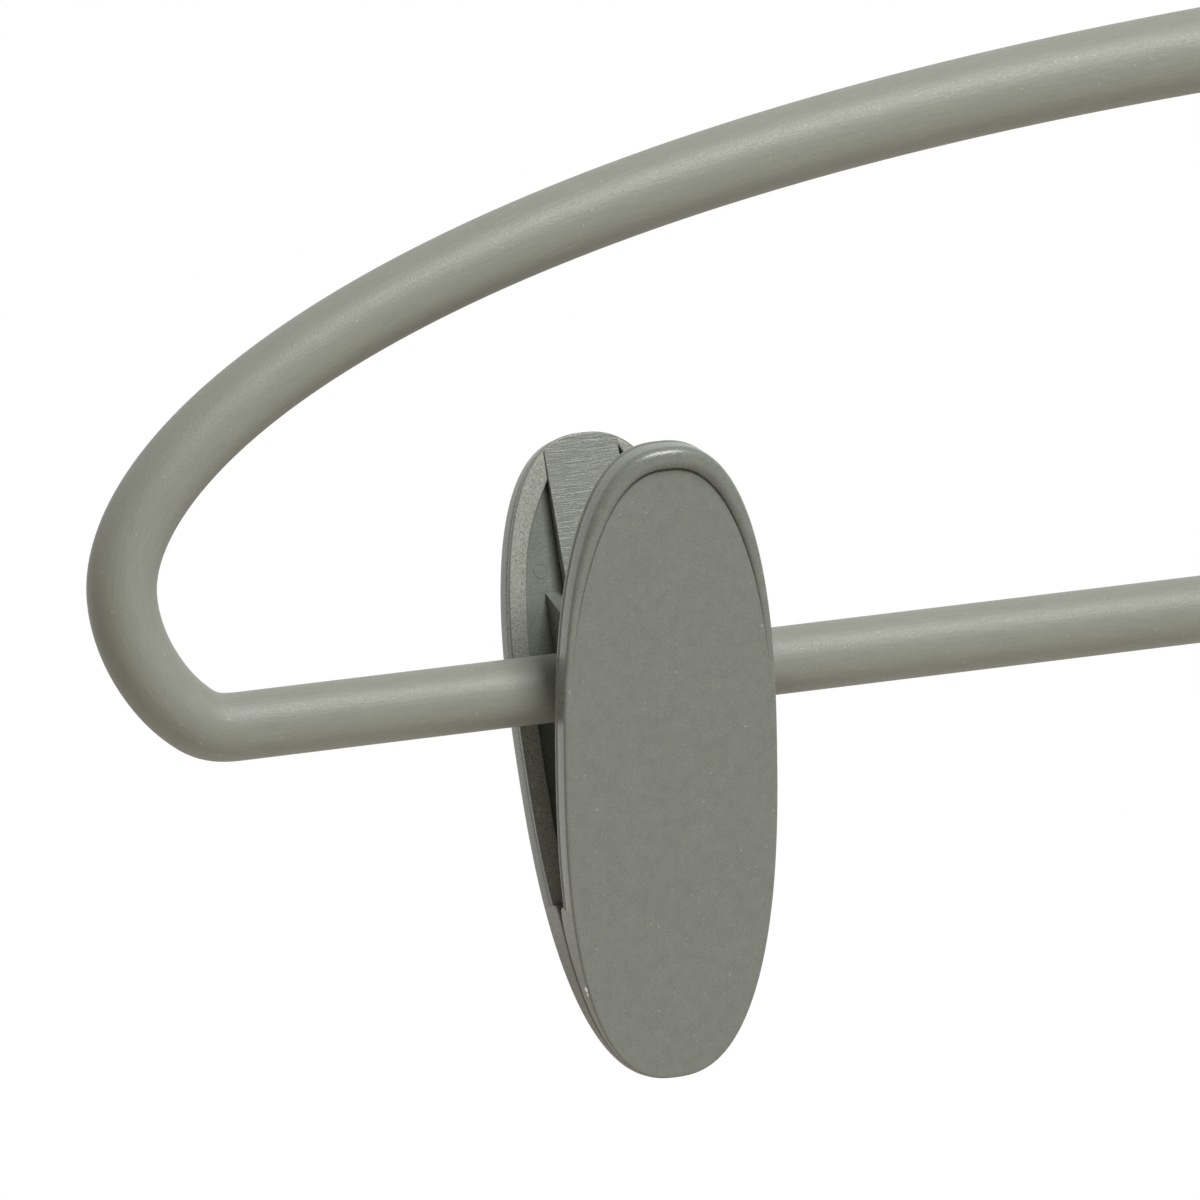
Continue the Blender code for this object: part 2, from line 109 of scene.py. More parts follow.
class HangerRodSettings(bpy.types.PropertyGroup):
    width: length("Width", FRAME_HIGH.x - FRAME_LOW.x, "Overall width of the frame")
    bar_diameter: length("Bar diameter", 0.0070, "Diameter of the trouser bar")
    end_diameter: length("End diameter", 0.00715, "Diameter of the rod at the round ends")
    crown_diameter: length("Crown diameter", 0.00945, "Diameter of the rod at the neck")
    crown_height: length("Crown height", 0.0597, "Height of the crown's centre line above the bar's")
    end_height: length("End height", 0.0143, "Height above the bar at which the frame is widest")
    bar_end_inset: length("Bar end inset", 0.0114, "How far in from the end the straight bar stops")
    corner_inset: length("Corner inset", 0.0051, "How far in from the end the corner's turning point is")
    corner_height: length("Corner height", 0.0025, "How high above the bar that point is")
    corner_direction: angle("Corner direction", 136.0, "Which way the rod runs there")
    corner_ease: length("Corner ease", 0.0030, "How long the curve holds its direction at the corner")
    end_ease: length("End ease", 0.0052, "How long the curve holds its direction below the end")
    end_fullness: number("End fullness", 0.367, "Share of the rise over which the end stays upright")
    crown_fullness: number("Crown fullness", 0.757, "Share of the reach over which the crown stays level")
    taper: number("Shoulder taper", 1.1, "How late the shoulder thickens")
    boss_radius: length("Boss radius", 0.0065, "Radius of the neck boss")
    boss_top_radius: length("Boss top radius", 0.0044, "Radius of the boss at its top")
    boss_shoulder: length("Boss shoulder", 0.0045, "Height above the crown at which the boss narrows")
    boss_rise: length("Boss rise", 0.0100, "Height of the boss above the crown's centre line")
    boss_drop: length("Boss drop", 0.006425, "Depth of the boss below the crown's centre line")
    bore_radius: length("Bore radius", 0.00215, "Radius of the hole for the hook")
    recess_radius: length("Recess radius", 0.00375, "Radius of the recess for the hook's head")
    recess_depth: length("Recess depth", 0.00355, "Depth of that recess")
    round_over: length("Round-over", 0.0007, "Radius of the boss's edges")
    rod_sides: count("Rod sides", 56, "Sides of the rod's round section")


class HangerHookSettings(bpy.types.PropertyGroup):
    wire_radius: length("Wire radius", 0.00176, "Radius of the wire")
    inner_radius: length("Inner radius", 0.0200, "Radius of the inside of the hook")
    neck_radius: length("Neck bend radius", 0.0140, "Radius of the bend above the shank")
    tip_angle: angle("Tip angle", 190.0, "Where the wire ends, from +X round over the top")
    head_radius: length("Head radius", 0.0034, "Radius of the upset head that the boss holds")
    head_height: length("Head height", 0.0024, "Thickness of that head")
    head_chamfer: length("Head chamfer", 0.0004, "Rounding of the head's edge")
    head_gap: length("Head gap", 0.00035, "Running clearance above the head")


class HangerClipSettings(bpy.types.PropertyGroup):
    length: length("Length", 0.06725, "Length of a clip's oval shell")
    width: length("Width", 0.0234, "Width of the shell")
    exponent: number("Fullness", 2.5, "How square the oval is: 2 is an ellipse")
    centre_drop: length("Centre drop", 0.007025, "How far the oval's centre hangs below the bar's axis")
    face_distance: length("Face distance", 0.00875, "From the bar's axis to the shell's flat face")
    depth: length("Depth", 0.0029, "Depth of the shell from its face to its rim")
    wall: length("Wall", 0.0018, "Thickness of the shell's floor")
    rim: length("Rim width", 0.0021, "Width of the rim inside the oval")
    edge: length("Edge radius", 0.00030, "Rounding of the plain lower edge")
    rim_edge: length("Rim edge", 0.00018, "Rounding of the rim's edges")
    bead_width: length("Bead width", 0.0023, "Width of the rolled upper edge")
    bead_height: length("Bead height", 0.00073, "How far the rolled edge stands up")
    bead_side: length("Bead side", 0.00025, "How far the rolled edge turns down the side")
    bead_crease: length("Bead crease", 0.00024, "Depth of the crease at the foot of the rolled edge")
    bead_fade: number("Bead fade", 1.6, "How fast the rolled edge dies out towards the bar")
    seam_height: number("Seam height", 0.80, "Where the mould's halves meet, as a share of the side")
    seam_half: number("Seam width", 0.10, "Half the width of the line there, as a share of the side")
    seam_depth: length("Seam depth", 0.00015, "Depth of that line")
    pad_half: length("Pad half width", 0.0041, "Half the width of the pad inside the upper end")
    pad_off: length("Pad offset", 0.00045, "How far the pad is moulded off the middle")
    pocket_near: length("Pocket tip", 0.0220, "Height of the pocket's tip where the pad is moved to")
    pocket_far: length("Pocket far tip", 0.0249, "Height of the pocket's tip on the other side")
    pad_step: length("Pad step", 0.00008, "How far the pad stands above the rim at its top")
    pad_end: length("Pad end", 0.0095, "Height of the pad's lower end above the bar's axis")
    pad_rise: length("Pad rise", 0.0008, "How far the pad's lower end stands above the rim")
    jaw_length: length("Jaw length", 0.01885, "Length of the solid jaw")
    jaw_tip: length("Jaw tip", 0.00055, "Thickness of the jaw at its tip")
    jaw_gap: length("Jaw gap", 0.0003, "Clearance between the shut jaws")
    jaw_ledge: length("Jaw ledge", 0.0023, "From the jaw's step up to the pocket")
    jaw_lead: length("Jaw lead", 0.0028, "Length over which the jaw's upper end bends away")
    jaw_bend: length("Jaw bend", 0.00045, "How far it bends away at the step")
    jaw_round: length("Jaw rounding", 0.0008, "Radius of the jaw's upper corner")
    groove_count: count("Grip grooves", 4, "Grooves across the jaw's face")
    groove_pitch: length("Groove pitch", 0.0028, "Spacing of the grooves")
    groove_depth: length("Groove depth", 0.00045, "Depth of the grooves")
    groove_half: length("Groove half length", 0.0060, "Half the length of the grooves")
    groove_end: length("Groove start", 0.0052, "From the jaw's tip to the first groove")
    cheek_inner: length("Cheek inner side", 0.00475, "From the middle to a cheek's inner side")
    cheek_outer: length("Cheek outer side", 0.0063, "From the middle to a cheek's outer side")
    cheek_top: length("Cheek top", 0.0112, "Height of the cheek at the shell's floor")
    cheek_slope: angle("Cheek slope", 28.0, "Fall of the cheek's top edge")
    cheek_gap: length("Cheek end", 0.0015, "From the pocket's end to the cheek's")
    relief: angle("Relief", 19.5, "How far a cheek leans back to let the clip open")
    bore: length("Bar seat radius", 0.00385, "Radius of the cheeks' seat on the bar")
    bridge_height: length("Bridge height", 0.0060, "Height of the bridge that the spring presses on")
    bridge_thickness: length("Bridge thickness", 0.0014, "Thickness of that bridge")
    bridge_recess: length("Bridge recess", 0.0002, "How far it stands back from the cheeks")
    bevel: length("Bevel", 0.00015, "Rounding of the inner ribs")
    pin_across: length("Ejector mark across", 0.0064, "From the middle to the ejector pin's mark")
    pin_along: length("Ejector mark height", 0.0129, "Height of that mark above the bar's axis")
    pin_radius: length("Ejector mark radius", 0.00084, "Radius of that mark")
    pin_height: length("Ejector mark edge", 0.00005, "Height of the mark's raised edge")
    gate_drop: length("Gate mark drop", 0.0300, "Depth of the gate mark below the bar's axis")
    gate_radius: length("Gate mark radius", 0.00030, "Radius of the larger of its two nubs")
    points: count("Outline points", 168, "Points round the oval")


class HangerSpringSettings(bpy.types.PropertyGroup):
    width: length("Width", 0.0070, "Width of the spring strip")
    thickness: length("Thickness", 0.0005, "Thickness of the strip")
    loop: length("Loop radius", 0.00445, "Radius of the strip's middle over the bar")
    leg: length("Leg distance", 0.0024, "From the parting plane to the middle of a leg")
    bend: length("Bend depth", 0.0127, "Depth of the leg's bend below the bar's axis")
    tip: length("Leg end", 0.01724, "Depth of the leg's end below the bar's axis")
    bend_radius: length("Bend radius", 0.0016, "Radius of the bend in the leg")


class HangerFinishSettings(bpy.types.PropertyGroup):
    rod: colour("Rod", "#82877E", "Satin moulded polypropylene of the frame, sRGB")
    clip: colour("Clip", "#70766F", "Fine spark-eroded polypropylene of the clips, sRGB")
    # Also the colour of the painted glints on the tops of the clips' coarse grain.
    pale_fleck: colour("Dust", "#B4B5AB", "Pale specks in the plastic, sRGB")
    torn: colour("Torn plastic", "#FFFFFF", "Plastic stretched white where the sprue was torn off, sRGB")
    # Painted shade: the torn plastic darkened where it lies in the hollows of the break.
    torn_hollow_shade: colour("Torn plastic, low", "#EAECE6", "The same plastic in the hollows of the break, sRGB")
    wire: colour("Wire", "#C9CAC8", "Bright plated wire of the hook, sRGB")
    spring: colour("Spring", "#74767A", "Dark spring steel, sRGB")
    backdrop: colour("Backdrop", "#FFFFFF", "Backdrop as the camera sees it, sRGB")
    floor: colour("Floor", "#E8E3DE", "Pale studio floor, sRGB")


class HangerStageSettings(bpy.types.PropertyGroup):
    focal_length: number("Focal length", 360.0, "Focal length, in millimetres")
    sensor: number("Sensor width", 36.0, "Width of the sensor, in millimetres")
    distance: length("Distance", 1.2316, "From the camera to the point that it looks at")
    azimuth: angle("Azimuth", 20.0, "How far round to the left the camera stands")
    pitch: angle("Pitch", 5.05, "How far down the camera looks")
    roll: angle("Roll", 4.98, "How far the picture turns anticlockwise")
    aim_across: length("Aim left of clip", 0.003614, "Point looked at, left of the left clip's centre")
    aim_above: length("Aim above bar", 0.00843, "Point looked at, above the bar's axis")
    floor_drop: length("Floor drop", 0.30, "From the clips down to the floor")
    key_azimuth: angle("Key azimuth", 20.0, "How far round to the right of the front the key light stands")
    key_rise: angle("Key rise", 46.4, "How far above the horizon it stands")
    key_distance: length("Key distance", 1.2, "From the left clip to the key light")
    key_width: length("Key width", 0.50, "Width of the key light")
    key_height: length("Key height", 0.45, "Height of the key light")
    key_power: number("Key power", 16.2, "Power of the key light, in watts")
    key_tint: colour("Key tint", "#FFFAF9", "Colour of the key light, sRGB")
    sky_front: colour("Light from the front", "#7E8181", "World behind the camera, sRGB")
    sky_rear: colour("Light from the rear", "#FFF5ED", "World behind the hanger, sRGB")
    sky_left: colour("Light from the left", "#766D5A", "World to the left, sRGB")
    floor_radius: length("Floor radius", 1.4, "Radius of the floor")


def linear(hex_colour):
    """A hex sRGB colour as linear red, green, blue and alpha."""
    values = [int(hex_colour[i:i + 2], 16) / 255 for i in (1, 3, 5)]
    return [v / 12.92 if v <= 0.04045 else ((v + 0.055) / 1.055) ** 2.4 for v in values] + [1.0]


def toned(rgba, factor):
    """A linear colour made lighter or darker by a factor."""
    return [value * factor for value in rgba[:3]] + [1.0]


def add_node(tree, kind, settings=None, links=None):
    """A node with its properties or socket values, and links from other nodes' sockets."""
    made = tree.nodes.new(kind)
    for name, value in (settings or {}).items():
        if isinstance(name, int) or name in made.inputs:
            made.inputs[name].default_value = value
        else:
            setattr(made, name, value)
    for name, (source, socket) in (links or {}).items():
        tree.links.new(source.outputs[socket], made.inputs[name])
    return made


def new_material(name):
    """A new node material, with its tree and its output node."""
    made = bpy.data.materials.new(name)
    made.use_nodes = True
    made.node_tree.nodes.clear()
    return made, made.node_tree, add_node(made.node_tree, "ShaderNodeOutputMaterial")


def satin_polypropylene(finish):
    """Polypropylene from a polished mould: soft gloss, with fine drag lines along the rod."""
    made, tree, output = new_material("polypropylene_satin_moulded")
    place = add_node(tree, "ShaderNodeUVMap")
    # UVs are in metres: round the rod, then along it. Drag lines are about 0.25 mm apart and 4 mm long.
    drag_scale = add_node(tree, "ShaderNodeMapping", {"Scale": (1 / (0.25 * MM), 1 / (4 * MM), 1)},
                          {"Vector": (place, "UV")})
    drag = add_node(tree, "ShaderNodeTexNoise", {"Scale": 1.0, "Detail": 4.0, "Roughness": 0.6},
                    {"Vector": (drag_scale, "Vector")})
    spot = add_node(tree, "ShaderNodeTexCoord")
    # The gloss is broken by a grain of about 0.2 mm, drawn coarser than the real one so that it shows.
    grain = add_node(tree, "ShaderNodeTexNoise", {"Scale": 1 / (0.20 * MM), "Detail": 2.0},
                     {"Vector": (spot, "Object")})
    cloud = add_node(tree, "ShaderNodeTexNoise", {"Scale": 1 / (14 * MM), "Detail": 2.0},
                     {"Vector": (spot, "Object")})
    body = linear(finish.rod)
    tone = add_node(tree, "ShaderNodeMix",
                    {"data_type": "RGBA", FIRST: toned(body, 0.96), SECOND: toned(body, 1.04)},
                    {FACTOR: (cloud, "Fac")})
    streak = add_node(tree, "ShaderNodeMapRange",
                      {"From Min": 0.3, "From Max": 0.7, "To Min": 0.94, "To Max": 1.06},
                      {"Value": (drag, "Fac")})
    painted = add_node(tree, "ShaderNodeMix", {"data_type": "RGBA", "blend_type": "MULTIPLY", FACTOR: 1.0},
                       {FIRST: (tone, MIXED), SECOND: (streak, "Result")})
    # Faint pale specks of about 0.2 mm lie some 3 mm apart.
    fleck = add_node(tree, "ShaderNodeTexNoise", {"Scale": 1 / (0.5 * MM), "Detail": 1.0},
                     {"Vector": (spot, "Object")})
    pale_fleck = add_node(tree, "ShaderNodeMapRange", {"From Min": 0.72, "From Max": 0.80, "To Max": 0.4},
                    {"Value": (fleck, "Fac")})
    coloured = add_node(tree, "ShaderNodeMix", {"data_type": "RGBA", SECOND: linear(finish.pale_fleck)},
                        {FACTOR: (pale_fleck, "Result"), FIRST: (painted, MIXED)})
    gloss = add_node(tree, "ShaderNodeMapRange",
                     {"From Min": 0.3, "From Max": 0.7, "To Min": 0.42, "To Max": 0.58},
                     {"Value": (grain, "Fac")})
    lines = add_node(tree, "ShaderNodeBump", {"Strength": 0.6, "Distance": 0.03 * MM},
                     {"Height": (drag, "Fac")})
    relief = add_node(tree, "ShaderNodeBump", {"Strength": 0.9, "Distance": 0.045 * MM},
                      {"Height": (grain, "Fac"), "Normal": (lines, "Normal")})
    shader = add_node(tree, "ShaderNodeBsdfPrincipled", {"IOR": 1.49},
                      {"Base Color": (coloured, MIXED), "Roughness": (gloss, "Result"),
                       "Normal": (relief, "Normal")})
    tree.links.new(shader.outputs["BSDF"], output.inputs["Surface"])
    return made


def eroded_polypropylene(finish, name, grain_size, relief_strength, salt, lines=0.0):
    """Polypropylene from a spark-eroded mould: an even, fine-grained sheen that hides marks.

    The tops of a coarse grain catch more light, which salt paints into the colour as a share: painted
    highlights on the tops, and a little painted shade in the hollows.
    Where lines isn't 0, the mould was milled instead, and left ridges across the piece; their light and
    shade is painted into the colour too.
    """
    made, tree, output = new_material(name)
    spot = add_node(tree, "ShaderNodeTexCoord")
    # The grain of an eroded mould is about 0.05 mm; it is drawn coarser so that it shows.
    grain = add_node(tree, "ShaderNodeTexNoise", {"Scale": 1 / grain_size, "Detail": 3.0, "Roughness": 0.6},
                     {"Vector": (spot, "Object")})
    mottle = add_node(tree, "ShaderNodeTexNoise", {"Scale": 1 / (1.3 * MM), "Detail": 2.0, "Roughness": 0.7},
                      {"Vector": (spot, "Object")})
    cloud = add_node(tree, "ShaderNodeTexNoise", {"Scale": 1 / (9 * MM), "Detail": 3.0},
                     {"Vector": (spot, "Object")})
    # Milled ridges are 0.20 mm apart and some 3 mm long.
    mill_scale = add_node(tree, "ShaderNodeMapping",
                          {"Scale": (1 / (3 * MM), 1 / (0.5 * MM), 1 / (0.20 * MM))},
                          {"Vector": (spot, "Object")})
    mill = add_node(tree, "ShaderNodeTexNoise", {"Scale": 1.0, "Detail": 3.0, "Roughness": 0.55},
                    {"Vector": (mill_scale, "Vector")})
    body = linear(finish.clip)
    tone = add_node(tree, "ShaderNodeMix",
                    {"data_type": "RGBA", FIRST: toned(body, 0.97), SECOND: toned(body, 1.03)},
                    {FACTOR: (cloud, "Fac")})
    blotch = add_node(tree, "ShaderNodeMapRange",
                      {"From Min": 0.25, "From Max": 0.75, "To Min": 0.92, "To Max": 1.08},
                      {"Value": (mottle, "Fac")})
    # Painted highlight and shade: the grain's tops are lightened and its hollows a little darkened, as light
    # falls on them.
    painted_grain_light = add_node(tree, "ShaderNodeMapRange",
                      {"From Min": 0.35, "From Max": 0.65, "To Min": 1 - salt / 3, "To Max": 1 + 1.7 * salt},
                      {"Value": (grain, "Fac")})
    # Painted light and shade across the milled ridges, in step with their bump.
    painted_ridge_light = add_node(tree, "ShaderNodeMapRange",
                      {"From Min": 0.3, "From Max": 0.7, "To Min": 1 - lines / 4, "To Max": 1 + lines / 4},
                      {"Value": (mill, "Fac")})
    mottle_and_grain_light = add_node(tree, "ShaderNodeMath", {"operation": "MULTIPLY"},
                       {0: (blotch, "Result"), 1: (painted_grain_light, "Result")})
    mottle_and_painted_light = add_node(tree, "ShaderNodeMath", {"operation": "MULTIPLY"},
                      {0: (mottle_and_grain_light, "Value"), 1: (painted_ridge_light, "Result")})
    painted = add_node(tree, "ShaderNodeMix", {"data_type": "RGBA", "blend_type": "MULTIPLY", FACTOR: 1.0},
                       {FIRST: (tone, MIXED), SECOND: (mottle_and_painted_light, "Value")})
    # Pale flecks: on a coarse grain, painted glints on its tops; on a fine one, pale specks here and there.
    fleck = add_node(tree, "ShaderNodeTexNoise", {"Scale": 1 / (1.2 * grain_size), "Detail": 2.0},
                     {"Vector": (spot, "Object")})
    pale_fleck = add_node(tree, "ShaderNodeMapRange",
                    {"From Min": 0.77 - 1.2 * salt, "From Max": 0.85, "To Max": 0.6 + salt},
                    {"Value": (fleck, "Fac")})
    # Pale specks of about 0.2 mm lie some 5 to 10 mm apart.
    scatter = add_node(tree, "ShaderNodeTexNoise", {"Scale": 1 / (0.42 * MM), "Detail": 1.0},
                       {"Vector": (spot, "Object")})
    speck = add_node(tree, "ShaderNodeMapRange", {"From Min": 0.755, "From Max": 0.80, "To Max": 0.6},
                     {"Value": (scatter, "Fac")})
    pale = add_node(tree, "ShaderNodeMath", {"operation": "MAXIMUM"},
                    {0: (pale_fleck, "Result"), 1: (speck, "Result")})
    coloured = add_node(tree, "ShaderNodeMix", {"data_type": "RGBA", SECOND: linear(finish.pale_fleck)},
                        {FACTOR: (pale, "Value"), FIRST: (painted, MIXED)})
    gloss = add_node(tree, "ShaderNodeMapRange",
                     {"From Min": 0.3, "From Max": 0.7, "To Min": 0.23, "To Max": 0.37},
                     {"Value": (grain, "Fac")})
    milled = add_node(tree, "ShaderNodeBump", {"Strength": lines, "Distance": 0.10 * MM},
                      {"Height": (mill, "Fac")})
    relief = add_node(tree, "ShaderNodeBump", {"Strength": relief_strength, "Distance": 0.25 * grain_size},
                      {"Height": (grain, "Fac"), "Normal": (milled, "Normal")})
    shader = add_node(tree, "ShaderNodeBsdfPrincipled", {"IOR": 1.49},
                      {"Base Color": (coloured, MIXED), "Roughness": (gloss, "Result"),
                       "Normal": (relief, "Normal")})
    tree.links.new(shader.outputs["BSDF"], output.inputs["Surface"])
    return made


def torn_polypropylene(finish):
    """Polypropylene where the sprue was torn off: stretched white, and rough at the break."""
    made, tree, output = new_material("polypropylene_torn_at_gate")
    spot = add_node(tree, "ShaderNodeTexCoord")
    fibre = add_node(tree, "ShaderNodeTexNoise", {"Scale": 1 / (0.15 * MM), "Detail": 3.0},
                     {"Vector": (spot, "Object")})
    # Painted shade: where the fibre's bump is low, in the break's hollows, the colour turns darker.
    tone = add_node(tree, "ShaderNodeMix",
                    {"data_type": "RGBA", FIRST: linear(finish.torn_hollow_shade), SECOND: linear(finish.torn)},
                    {FACTOR: (fibre, "Fac")})
    relief = add_node(tree, "ShaderNodeBump", {"Strength": 0.6, "Distance": 0.05 * MM},
                      {"Height": (fibre, "Fac")})
    shader = add_node(tree, "ShaderNodeBsdfPrincipled", {"IOR": 1.49, "Roughness": 0.4},
                      {"Base Color": (tone, MIXED), "Normal": (relief, "Normal")})
    tree.links.new(shader.outputs["BSDF"], output.inputs["Surface"])
    return made


def metal(name, hex_colour, streak_gap, roughness):
    """Drawn or rolled steel: a clear highlight, broken by fine lines that run along the metal."""
    made, tree, output = new_material(name)
    place = add_node(tree, "ShaderNodeUVMap")
    # UVs are in metres, round the wire and then along it.
    scale = add_node(tree, "ShaderNodeMapping", {"Scale": (1 / streak_gap, 1 / (12 * MM), 1)},
                     {"Vector": (place, "UV")})
    drawn = add_node(tree, "ShaderNodeTexNoise", {"Scale": 1.0, "Detail": 3.0},
                     {"Vector": (scale, "Vector")})
    gloss = add_node(tree, "ShaderNodeMapRange",
                     {"From Min": 0.3, "From Max": 0.7,
                      "To Min": roughness - 0.03, "To Max": roughness + 0.04},
                     {"Value": (drawn, "Fac")})
    body = linear(hex_colour)
    tone = add_node(tree, "ShaderNodeMix", {"data_type": "RGBA", FIRST: toned(body, 0.92), SECOND: body},
                    {FACTOR: (drawn, "Fac")})
    relief = add_node(tree, "ShaderNodeBump", {"Strength": 0.12, "Distance": 0.01 * MM},
                      {"Height": (drawn, "Fac")})
    shader = add_node(tree, "ShaderNodeBsdfPrincipled", {"Metallic": 1.0},
                      {"Base Color": (tone, MIXED), "Roughness": (gloss, "Result"),
                       "Normal": (relief, "Normal")})
    tree.links.new(shader.outputs["BSDF"], output.inputs["Surface"])
    return made


class Skin:
    """A mesh built up from loops of points."""

    def __init__(self):
        self.work = bmesh.new()
        self.uv = self.work.loops.layers.uv.new("place")

    def loop(self, points):
        return [self.work.verts.new(point) for point in points]

    def bridge(self, loops):
        """Quads between each loop and the next, all of equally many points."""
        for first, second in zip(loops, loops[1:]):
            for i in range(len(first)):
                j = (i + 1) % len(first)
                self.work.faces.new((first[i], first[j], second[j], second[i]))

    def cap(self, loop, slot=0):
        """One face over a loop, of the material in this slot."""
        self.work.faces.new(loop).material_index = slot

    def fill(self, loops, slot=0):
        """Triangles between an outer loop and the holes in it."""
        edges = []
        for loop in loops:
            for i, vertex in enumerate(loop):
                pair = (vertex, loop[(i + 1) % len(loop)])
                edges.append(self.work.edges.get(pair) or self.work.edges.new(pair))
        made = bmesh.ops.triangle_fill(self.work, use_beauty=True, use_dissolve=False, edges=edges)
        for item in made["geom"]:
            if isinstance(item, bmesh.types.BMFace):
                item.material_index = slot

    def sweep(self, rings, distances, girth, closed=False):
        """Rings of a tube, with UVs in metres round and along it, and flat caps unless it is closed."""
        loops = [self.loop(ring) for ring in rings]
        pairs = list(zip(loops, loops[1:]))
        if closed:
            pairs.append((loops[-1], loops[0]))
        sides = len(loops[0])
        for k, (first, second) in enumerate(pairs):
            for i in range(sides):
                j = (i + 1) % sides
                face = self.work.faces.new((first[i], first[j], second[j], second[i]))
                steps = ((i, k), (i + 1, k), (i + 1, k + 1), (i, k + 1))
                for corner, (around, along) in zip(face.loops, steps):
                    corner[self.uv].uv = (girth * around / sides, distances[along])
        if not closed:
            self.cap(loops[0])
            self.cap(loops[-1])

    def bevel(self, edges, width):
        """Rounds these edges."""
        bmesh.ops.bevel(self.work, geom=edges, offset=width, segments=2, profile=0.5, affect="EDGES",
                        clamp_overlap=True, material=0)

    def block(self, profile, low, high, bevel):
        """A profile of points run along X, with its edges rounded, as a body of its own."""
        ends = [self.loop([(x, *point) for point in profile]) for x in (low, high)]
        self.bridge(ends)
        self.cap(ends[0])
        self.cap(ends[1])
        chosen = set(ends[0] + ends[1])
        edges = [edge for edge in self.work.edges if chosen.issuperset(edge.verts)]
        self.bevel([edge for edge in edges if edge.calc_face_angle(0.0) > math.radians(30.0)], bevel)

    def finish(self, name, smooth_angle=40.0):
        """The mesh, smooth but for the edges sharper than this angle in degrees."""
        bmesh.ops.remove_doubles(self.work, verts=self.work.verts, dist=MERGE_DISTANCE)
        bmesh.ops.recalc_face_normals(self.work, faces=self.work.faces)
        mesh = bpy.data.meshes.new(name)
        self.work.to_mesh(mesh)
        self.work.free()
        mesh.shade_smooth()
        mesh.set_sharp_from_angle(angle=math.radians(smooth_angle))
        return mesh


def place_piece(name, mesh, materials, matrix=Matrix.Identity(4)):
    """An object of this mesh and these materials, whose flat faces keep their own normals."""
    made = bpy.data.objects.new(name, mesh)
    made.matrix_world = matrix
    if not mesh.materials:
        for material in materials:
            mesh.materials.append(material)
    bpy.context.scene.collection.objects.link(made)
    flat = made.modifiers.new("flat faces stay flat", "WEIGHTED_NORMAL")
    flat.keep_sharp = True
    return made


def circle(radius, sides, shift=0.0):
    """Pairs of coordinates round a circle, the first one this share of a side past the first axis."""
    turns = [2 * math.pi * (i + shift) / sides for i in range(sides)]
    return [(radius * math.cos(turn), radius * math.sin(turn)) for turn in turns]


def arc(*degrees):
    """The sine and cosine of each of these angles."""
    return [(math.sin(math.radians(turn)), math.cos(math.radians(turn))) for turn in degrees]


def turned_rings(profile, sides, height):
    """Rings of points round the vertical through the origin, from pairs of radius and height."""
    return [[(x, y, height + rise) for x, y in circle(radius, sides)] for radius, rise in profile]


def rounded(points, radii, steps=5):
    """A path in a plane whose corners are rounded: one radius for each point, 0 to leave it."""
    made = []
    for i, (point, radius) in enumerate(zip(points, radii)):
        here = Vector(point)
        if radius == 0:
            made.append(tuple(here))
            continue
        before = (Vector(points[i - 1]) - here).normalized()
        after = (Vector(points[i + 1]) - here).normalized()
        half = before.angle(after) / 2
        start = here + before * radius / math.tan(half)
        end = here + after * radius / math.tan(half)
        middle = here + (before + after).normalized() * radius / math.sin(half)
        first = (start - middle).normalized()
        second = (end - middle).normalized()
        made += [tuple(middle + radius * first.slerp(second, k / steps)) for k in range(steps + 1)]
    return made


def path_lengths(points):
    """How far along a path each of its points lies."""
    found = [0.0]
    for first, second in zip(points, points[1:]):
        found.append(found[-1] + (Vector(second) - Vector(first)).length)
    return found


def rod_ring(point, heading, radius, sides):
    """A ring of the rod's round section, across its path in the XZ plane."""
    across = Vector((-math.sin(heading), 0.0, math.cos(heading)))
    through = Vector((0.0, 1.0, 0.0))
    centre = Vector((point[0], 0.0, point[1]))
    return [centre + u * across + v * through for u, v in circle(radius, sides, 0.5)]


def loop_path(rod):
    """Centre-line points from the bar's middle round the left end to the crown."""
    end_x = rod.width / 2 - rod.end_diameter / 2
    crown_z = BAR_Z + rod.crown_height
    end_reach = rod.end_fullness * (rod.crown_height - rod.end_height)
    corner = (-(end_x - rod.corner_inset), BAR_Z + rod.corner_height)
    # Each knot: its place, its direction, and the reach of the curve's handles before and after it.
    knots = [
        ((0.0, BAR_Z), math.pi, 0.0, 0.0),
        ((-(end_x - rod.bar_end_inset), BAR_Z), math.pi, 0.0, rod.corner_ease),
        (corner, rod.corner_direction, rod.corner_ease, rod.corner_ease),
        ((-end_x, BAR_Z + rod.end_height), math.pi / 2, rod.end_ease, end_reach),
        ((0.0, crown_z), 0.0, rod.crown_fullness * end_x, 0.0),
    ]
    points = []
    for first, second, steps in zip(knots, knots[1:], (BAR_STEPS, CORNER_STEPS, END_STEPS, SHOULDER_STEPS)):
        start = Vector((*first[0], 0.0))
        end = Vector((*second[0], 0.0))
        if first is knots[0]:
            points += [start.lerp(end, i / steps) for i in range(steps)]
            continue
        leave = start + first[3] * Vector((math.cos(first[1]), math.sin(first[1]), 0.0))
        arrive = end - second[2] * Vector((math.cos(second[1]), math.sin(second[1]), 0.0))
        points += interpolate_bezier(start, leave, arrive, end, steps + 1)[:-1]
    points.append(end)
    return points


